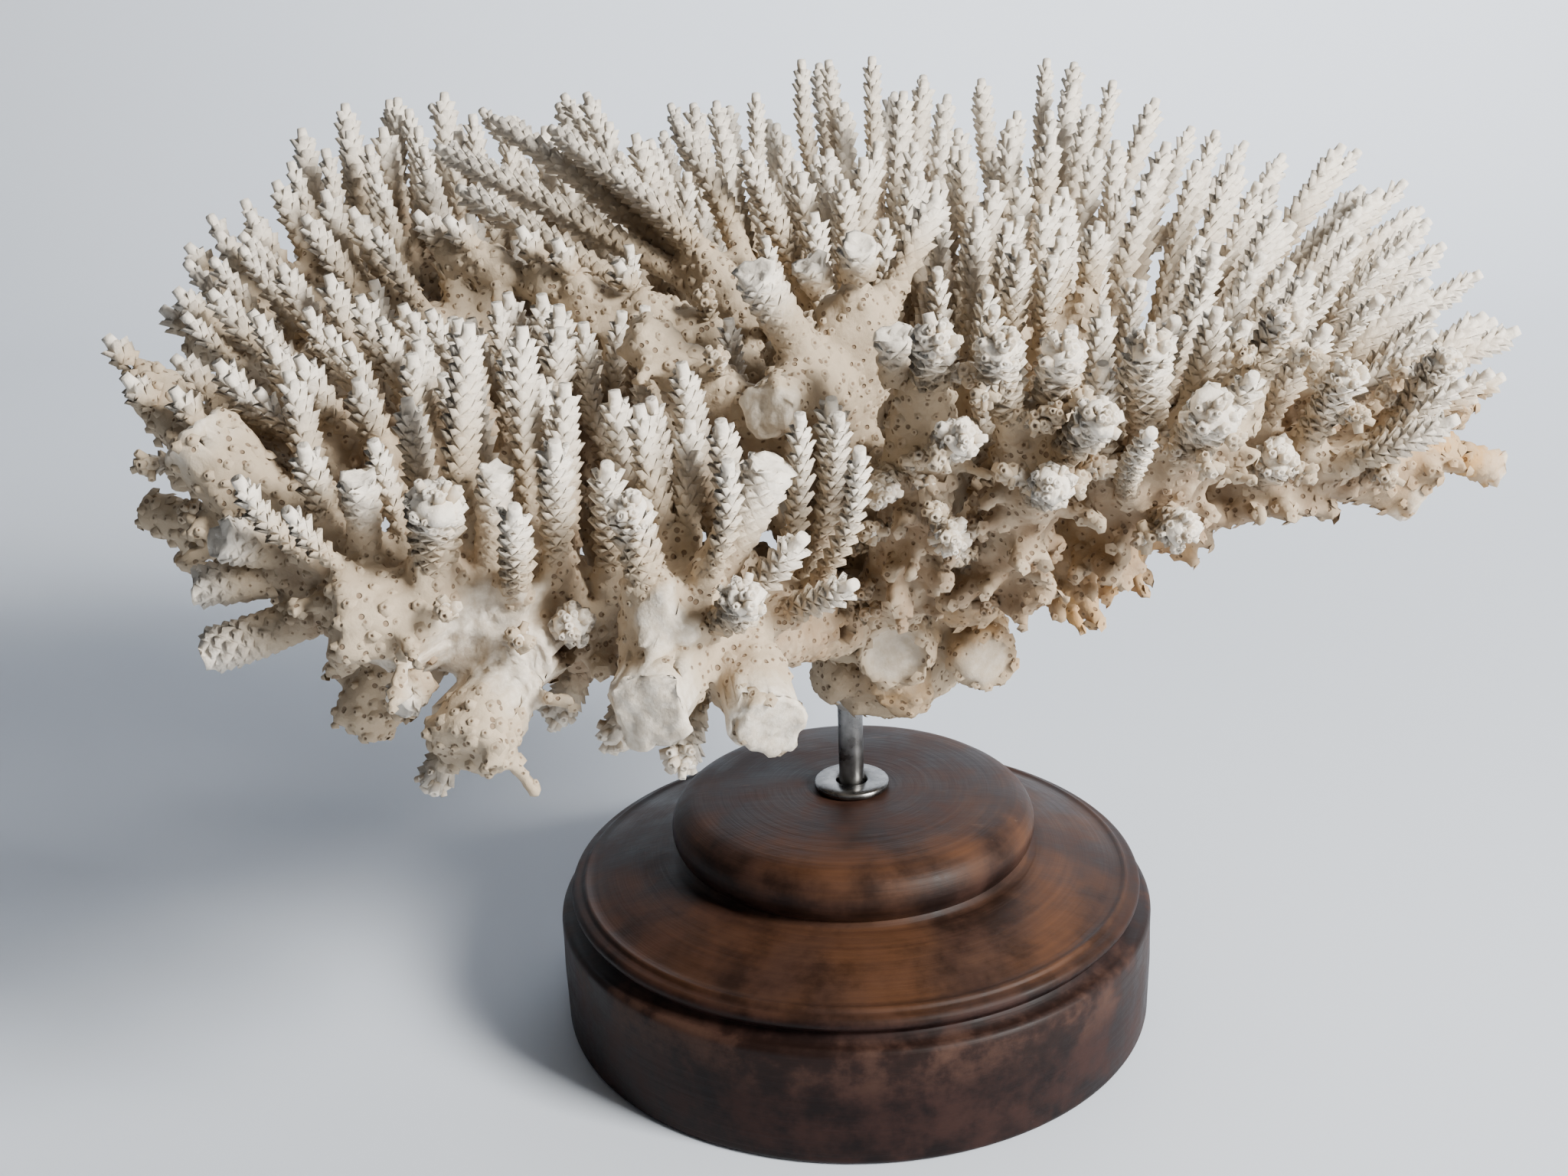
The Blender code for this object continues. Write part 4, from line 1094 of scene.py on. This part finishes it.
class Graph:
    """Short names for the nodes of one material."""

    def __init__(self, name):
        self.material = bpy.data.materials.new(name)
        self.material.use_nodes = True
        self.tree = self.material.node_tree
        self.shader = self.tree.nodes["Principled BSDF"]

    def add(self, kind, inputs=(), **values):
        """A node with its settings, and its inputs given as (name, value or socket)."""
        node = self.tree.nodes.new(kind)
        for key, value in values.items():
            setattr(node, key, value)
        for key, value in inputs:
            self.give(node.inputs[key], value)
        return node

    def give(self, socket, value):
        """Link a socket to another, or set its value."""
        if isinstance(value, bpy.types.NodeSocket):
            self.tree.links.new(value, socket)
        else:
            socket.default_value = value

    def math(self, operation, *values):
        """The result of a sum on values or sockets."""
        return self.add("ShaderNodeMath", list(enumerate(values)), operation=operation).outputs[0]

    def times(self, first, second):
        """The product of two values or sockets."""
        return self.math("MULTIPLY", first, second)

    def mix(self, share, first, second):
        """The first colour, with a share of the second."""
        node = self.add("ShaderNodeMix", data_type="RGBA")
        self.give(node.inputs[0], share)
        self.give(node.inputs[6], first)
        self.give(node.inputs[7], second)
        return node.outputs[2]

    def between(self, value, low, high, to_low=0.0, to_high=1.0):
        """Map a value softly from the range low to high."""
        inputs = [("Value", value), ("From Min", low), ("From Max", high),
                  ("To Min", to_low), ("To Max", to_high)]
        return self.add("ShaderNodeMapRange", inputs, interpolation_type="SMOOTHSTEP").outputs[0]

    def band(self, value, rise, fall, rest):
        """0 below the rise, 1 between it and the fall, and the rest above that."""
        return self.times(self.between(value, *rise), self.between(value, *fall, 1.0, rest))

    def noise(self, place, scale, detail=3.0, roughness=0.5):
        """Soft noise around 0.5."""
        inputs = [("Vector", place), ("Scale", scale), ("Detail", detail), ("Roughness", roughness)]
        return self.add("ShaderNodeTexNoise", inputs).outputs["Fac"]

    def place(self):
        """The place on the object, in metres."""
        return self.add("ShaderNodeTexCoord").outputs["Object"]

    def bump(self, height, distance, strength=1.0):
        """A normal that follows a fine relief."""
        node = self.add("ShaderNodeBump", [("Height", height)])
        node.inputs["Distance"].default_value = distance
        node.inputs["Strength"].default_value = strength
        return node.outputs[0]


def coral_material():
    """Bleached coral: white at the tips and breaks, darker cream-tan lower down, partly its own tone and
    partly painted shade towards the finger bases. It also gets painted shade between the fingers and in the
    pores, pits and bored holes, and is tan in the recesses.
    """
    graph = Graph("coral_skeleton")
    place = graph.place()
    growth = graph.add("ShaderNodeAttribute", attribute_name="growth")
    parts = graph.add("ShaderNodeSeparateColor", [("Color", growth.outputs["Color"])])
    along, pit, worn = parts.outputs
    stain = growth.outputs["Alpha"]
    broad = graph.noise(place, 45.0)
    fine = graph.noise(place, 900.0, 4.0, 0.6)
    painted_shade = graph.add("ShaderNodeAttribute", attribute_name="painted_shade").outputs["Fac"]
    # Darker lower on each stem and on the limbs: partly the coral's own tone, partly painted shade towards
    # the finger bases
    tip_share = graph.between(graph.math("ADD", along, graph.times(broad, 0.35)), 0.5, 1.25)
    colour = graph.mix(tip_share, CORAL_BODY_AND_SHADE, CORAL_TIP)
    colour = graph.mix(graph.between(fine, 0.35, 0.75, 0.0, 0.25), colour, CORAL_SPECK)
    # Painted shade between the fingers, weaker towards their tips
    colour = graph.mix(graph.times(painted_shade, graph.between(along, 0.4, 1.1, 1.0, 0.55)), colour, CORAL_PAINTED_SHADE)
    mottle = graph.between(graph.noise(place, 160.0, 4.0, 0.6), 0.3, 0.8)
    stained = graph.times(stain, graph.between(mottle, 0.0, 1.0, 0.5, 1.3))
    colour = graph.mix(stained, colour, CORAL_STAIN)
    patches = graph.between(graph.noise(place, 500.0, 4.0, 0.6), 0.3, 0.7, 0.35, 0.85)
    bleached = graph.times(worn, patches)
    colour = graph.mix(bleached, colour, CORAL_BREAK)
    # Painted shade: pores on the bare cores, cup pits and bored holes are coloured dark
    cells = graph.add("ShaderNodeTexVoronoi", [("Vector", place), ("Scale", 400.0)]).outputs["Distance"]
    bare = graph.times(graph.between(along, 0.0, 0.3, 1.0, 0.0), graph.between(worn, 0.2, 0.5, 1.0, 0.0))
    pores = graph.times(graph.between(cells, 0.17, 0.25, 1.0, 0.0), bare)
    pits = graph.times(graph.between(pit, 0.4, 0.8), graph.between(along, 0.15, 0.7, 0.9, 0.15))
    dark = graph.math("MAXIMUM", graph.times(pores, 0.75), pits)
    colour = graph.mix(dark, colour, CORAL_PIT_SHADE)
    graph.give(graph.shader.inputs["Base Color"], colour)
    graph.shader.inputs["Roughness"].default_value = 0.78
    graph.shader.inputs["Specular IOR Level"].default_value = 0.25
    height = graph.math("SUBTRACT", graph.times(fine, 0.5), pores)
    graph.give(graph.shader.inputs["Normal"], graph.bump(height, 0.0004))
    return graph.material


def lathe(name, profile, sides=160):
    """A smooth turned shape from (radius, height) points in millimetres. A radius of 0 closes it."""
    data = bpy.data.meshes.new(name)
    turns = np.linspace(0, 2 * np.pi, sides, endpoint=False)
    points = [(r * math.cos(a) * MM, r * math.sin(a) * MM, z * MM) for r, z in profile for a in turns]
    faces = []
    for k in range(len(profile) - 1):
        for j in range(sides):
            n = (j + 1) % sides
            faces.append((k * sides + j, k * sides + n, (k + 1) * sides + n, (k + 1) * sides + j))
    data.from_pydata(points, [], faces)
    data.validate()
    data.shade_smooth()
    return in_scene(name, data)


def arc(centre, radii, start, end, count):
    """Profile points on an elliptic arc, with its angles in degrees."""
    angles = np.radians(np.linspace(start, end, count))
    return [(centre[0] + radii[0] * math.cos(a), centre[1] + radii[1] * math.sin(a)) for a in angles]


def base_profile():
    """The turned base from the middle of its underside to the rod's hole."""
    profile = [(0.01, 0.0), (BASE_RADIUS - 2.0, 0.0)]
    profile += arc((BASE_RADIUS - 1.6, 1.6), (1.6, 1.6), -80, 0, 5)
    profile += [(BASE_RADIUS + 0.1, 8.0), (BASE_RADIUS + 0.25, 15.0), (BASE_RADIUS + 0.1, 22.0)]
    profile += arc((BASE_RADIUS - 1.9, 26.9), (2.0, 2.0), 0, 95, 7)
    profile += [(BASE_RADIUS - 3.6, 29.6), (BASE_RADIUS - 4.4, 30.6), (BASE_RADIUS - 4.2, 31.4)]
    profile += arc((BASE_RADIUS - 4.4, 33.2), (1.7, 1.6), -60, 80, 7)
    profile += [(BASE_RADIUS - 5.0, 34.9)]
    profile += arc((BASE_RADIUS - 6.4, 35.0), (0.9, 0.9), 10, 130, 5)
    profile += [(BASE_RADIUS - 8.5, 35.9), (61.0, 37.2), (55.0, 39.0), (50.0, 40.4), (46.5, 41.2),
                (44.6, 41.5), (43.2, 41.4), (42.7, 41.8)]
    profile += arc((37.6, 47.6), (6.4, 6.6), -48, 62, 14)
    profile += [(39.4, 54.2), (37.6, 54.7), (33.0, 55.2), (25.0, 55.7), (15.0, 56.0),
                (ROD_RADIUS + 0.4, 56.0), (ROD_RADIUS + 0.4, 50.0)]
    return profile


def wood_material():
    """Dark stained, turned wood with a worn orange-brown upper tier, painted lighter on the right side where
    the light falls.
    """
    graph = Graph("stained_turned_wood")
    place = graph.place()
    axes = graph.add("ShaderNodeSeparateXYZ", [("Vector", place)])
    x, y, z = axes.outputs
    radius = graph.math("SQRT", graph.math("ADD", graph.times(x, x), graph.times(y, y)))
    turn = graph.math("ARCTAN2", y, x)
    rings_at = graph.add("ShaderNodeCombineXYZ", [("X", graph.times(radius, 750.0)),
                                                  ("Y", graph.times(turn, 0.8)),
                                                  ("Z", graph.times(z, 750.0))]).outputs[0]
    rings = graph.noise(rings_at, 1.0, 4.0, 0.55)
    broad = graph.noise(place, 38.0, 3.0)
    blotch = graph.noise(place, 85.0, 6.0, 0.66)
    grain_at = graph.add("ShaderNodeMapping", [("Vector", place), ("Scale", (60.0, 500.0, 500.0))]).outputs[0]
    grain = graph.noise(grain_at, 1.0, 5.0, 0.6)
    tier = graph.band(z, TIER_RISE, TIER_FALL, 0.35)
    shoulder = graph.band(z, SHOULDER_RISE, SHOULDER_FALL, 0.3)
    edge = graph.band(z, EDGE_RISE, EDGE_FALL, 0.0)
    colour = graph.mix(graph.between(blotch, 0.36, 0.66), WOOD_DARK, WOOD_STAINED)
    colour = graph.mix(graph.times(edge, graph.between(blotch, 0.45, 0.7, 0.1, 0.8)), colour, WOOD_EDGE)
    # The shoulder's lighter band is partly wear and partly a painted highlight on its rounded edge
    worn = graph.math("MAXIMUM", graph.times(tier, 0.9), shoulder)
    patchy = graph.between(graph.math("ADD", graph.times(broad, 0.6), graph.times(blotch, 0.5)),
                           0.4, 0.68, 0.25, 1.0)
    worn = graph.times(graph.times(worn, patchy), graph.between(rings, 0.3, 0.7, 0.65, 1.0))
    # Painted light: the worn colour fades towards the left, so the right side looks lit
    worn = graph.times(worn, graph.between(x, -0.07, 0.04, 0.4, 1.0))
    colour = graph.mix(worn, colour, graph.mix(graph.between(broad, 0.4, 0.65), WOOD_WORN, WOOD_WARM))
    scuffs = graph.times(graph.between(grain, 0.66, 0.74), graph.between(z, *SCUFF_RISE))
    colour = graph.mix(graph.times(scuffs, 0.3), colour, WOOD_SCUFF)
    graph.give(graph.shader.inputs["Base Color"], colour)
    graph.shader.inputs["Specular IOR Level"].default_value = 0.13
    graph.give(graph.shader.inputs["Roughness"], graph.between(blotch, 0.3, 0.7, 0.42, 0.60))
    height = graph.math("ADD", graph.times(rings, 0.7), graph.times(grain, 0.3))
    graph.give(graph.shader.inputs["Normal"], graph.bump(height, 0.0003, 0.6))
    return graph.material


def steel_material():
    """Slightly dulled steel."""
    graph = Graph("dulled_steel")
    place = graph.place()
    spots = graph.noise(place, 260.0, 3.0)
    colour = graph.mix(graph.between(spots, 0.35, 0.75), STEEL_DULL, STEEL_BRIGHT)
    graph.give(graph.shader.inputs["Base Color"], colour)
    graph.shader.inputs["Metallic"].default_value = 1.0
    graph.give(graph.shader.inputs["Roughness"], graph.between(spots, 0.3, 0.8, 0.24, 0.38))
    graph.give(graph.shader.inputs["Normal"], graph.bump(spots, 0.00001))
    return graph.material


def glue_material():
    """Hardened, slightly cloudy glue."""
    graph = Graph("hardened_glue")
    cloud = graph.noise(graph.place(), 400.0)
    graph.give(graph.shader.inputs["Base Color"], graph.mix(cloud, GLUE_CLOUDY, GLUE_PALE))
    graph.shader.inputs["Roughness"].default_value = 0.25
    graph.shader.inputs["Transmission Weight"].default_value = 0.3
    return graph.material


def dress_stand():
    """The turned base, the washer, the rod and the glue around its top."""
    base = lathe("base_turned", base_profile())
    base.data.materials.append(wood_material())
    steel = steel_material()
    low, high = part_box("washer")
    bottom, top = low[2] / MM, high[2] / MM
    profile = [(WASHER_BORE, bottom), (WASHER_RADIUS - 0.3, bottom), (WASHER_RADIUS, bottom + 0.3),
               (WASHER_RADIUS, top - 0.4), (WASHER_RADIUS - 0.4, top), (WASHER_BORE + 0.3, top),
               (WASHER_BORE, top - 0.3), (WASHER_BORE, bottom)]
    washer = lathe("washer_steel", profile, 96)
    washer.data.materials.append(steel)
    low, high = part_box("rod")
    bottom, top = low[2] / MM, high[2] / MM
    profile = [(0.01, bottom), (ROD_RADIUS, bottom), (ROD_RADIUS, top), (0.01, top)]
    rod = lathe("rod_steel", profile, 64)
    rod.data.materials.append(steel)
    low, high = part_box("glue_collar")
    bottom, top = low[2] / MM, high[2] / MM
    profile = [(ROD_RADIUS + 0.05, top)]
    profile += arc((ROD_RADIUS, (bottom + top) / 2 + 0.6), (1.1, (top - bottom) / 2), 80, -70, 9)
    profile.append((ROD_RADIUS + 0.05, bottom))
    glue = lathe("glue_bead", profile, 64)
    glue.data.materials.append(glue_material())
    for shape, node, slot in ((base, "base", "stained_wood"), (washer, "washer", "steel"),
                              (rod, "rod", "steel"), (glue, "glue_collar", "glue")):
        shape.data.set_sharp_from_angle(angle=math.radians(50))
        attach(shape, "root")
        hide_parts(node)


def make_stage():
    """A pale grey sweep: floor, curve and back wall."""
    depth, rise, bend = 0.75, 2.2, 0.5
    near, half_width = -1.6, 2.5
    turns = np.radians(np.linspace(5, 90, 18))
    outline = [(near, 0.0), (depth, 0.0)]
    outline += [(depth + bend * math.sin(a), bend - bend * math.cos(a)) for a in turns]
    outline.append((depth + bend, rise))
    points = [(x, y, z) for y, z in outline for x in (-half_width, half_width)]
    faces = [(2 * k, 2 * k + 1, 2 * k + 3, 2 * k + 2) for k in range(len(outline) - 1)]
    data = bpy.data.meshes.new("sweep")
    data.from_pydata(points, [], faces)
    data.shade_smooth()
    sweep = in_scene("sweep", data)
    graph = Graph("pale_sweep")
    cloud = graph.noise(graph.place(), 1.5, 2.0)
    graph.give(graph.shader.inputs["Base Color"], graph.mix(cloud, FLOOR_GREY, FLOOR_PALE))
    graph.shader.inputs["Roughness"].default_value = 0.9
    sweep.data.materials.append(graph.material)


def area_light(name, place, target, size, power, colour, spread):
    """A soft rectangular light that faces the target."""
    lamp = bpy.data.lights.new(name, "AREA")
    lamp.shape = "RECTANGLE"
    lamp.size, lamp.size_y = size
    lamp.energy = power
    lamp.color = colour
    lamp.spread = math.radians(spread)
    shape = in_scene(name, lamp)
    shape.location = place
    way = Vector(target) - Vector(place)
    shape.rotation_euler = way.to_track_quat("-Z", "Y").to_euler()


def make_lights():
    """A window light and a low fill from the right, weak light from above, and pale surroundings."""
    world = bpy.data.worlds.new("surroundings")
    world.use_nodes = True
    back = world.node_tree.nodes["Background"]
    back.inputs["Color"].default_value = WORLD_COLOUR
    back.inputs["Strength"].default_value = WORLD_STRENGTH
    bpy.context.scene.world = world
    for name, settings in LIGHTS.items():
        area_light(name, *settings)


def make_camera():
    """The camera at the photo's place."""
    camera = bpy.data.cameras.new("camera")
    camera.sensor_width = SENSOR_WIDTH
    camera.lens = FOCAL_PIXELS / PHOTO_WIDTH * SENSOR_WIDTH
    camera.clip_start = 0.01
    shape = in_scene("camera", camera)
    turn = Matrix.Rotation(math.radians(CAMERA_TURN), 4, "Z")
    tilt = Matrix.Rotation(math.radians(90 - CAMERA_PITCH), 4, "X")
    roll = Matrix.Rotation(math.radians(CAMERA_ROLL), 4, "Z")
    shape.matrix_world = Matrix.Translation(CAMERA_PLACE) @ turn @ tilt @ roll
    bpy.context.scene.camera = shape


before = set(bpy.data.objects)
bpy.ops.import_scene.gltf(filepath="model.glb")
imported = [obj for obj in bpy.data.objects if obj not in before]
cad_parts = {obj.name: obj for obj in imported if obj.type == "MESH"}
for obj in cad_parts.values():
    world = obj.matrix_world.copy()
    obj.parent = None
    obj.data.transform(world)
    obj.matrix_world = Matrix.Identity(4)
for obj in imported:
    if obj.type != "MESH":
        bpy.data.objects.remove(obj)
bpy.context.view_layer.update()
make_camera()
make_lights()
make_stage()
dress_stand()
coral = coral_material()
main_fingers = grow_fingers()
all_fingers = main_fingers + fill_fingers(main_fingers)
all_stems = all_fingers + limb_nubs(all_fingers) + knob_buds(main_fingers)
crowd = Crowd(all_stems + [limb_stem(limb) for limb in LIMBS])
dress_stalk(crowd, coral)
for limb_node in dict.fromkeys(limb.node for limb in LIMBS):
    dress_limb(limb_node, [stem for stem in all_stems if stem.node == limb_node], crowd, coral)
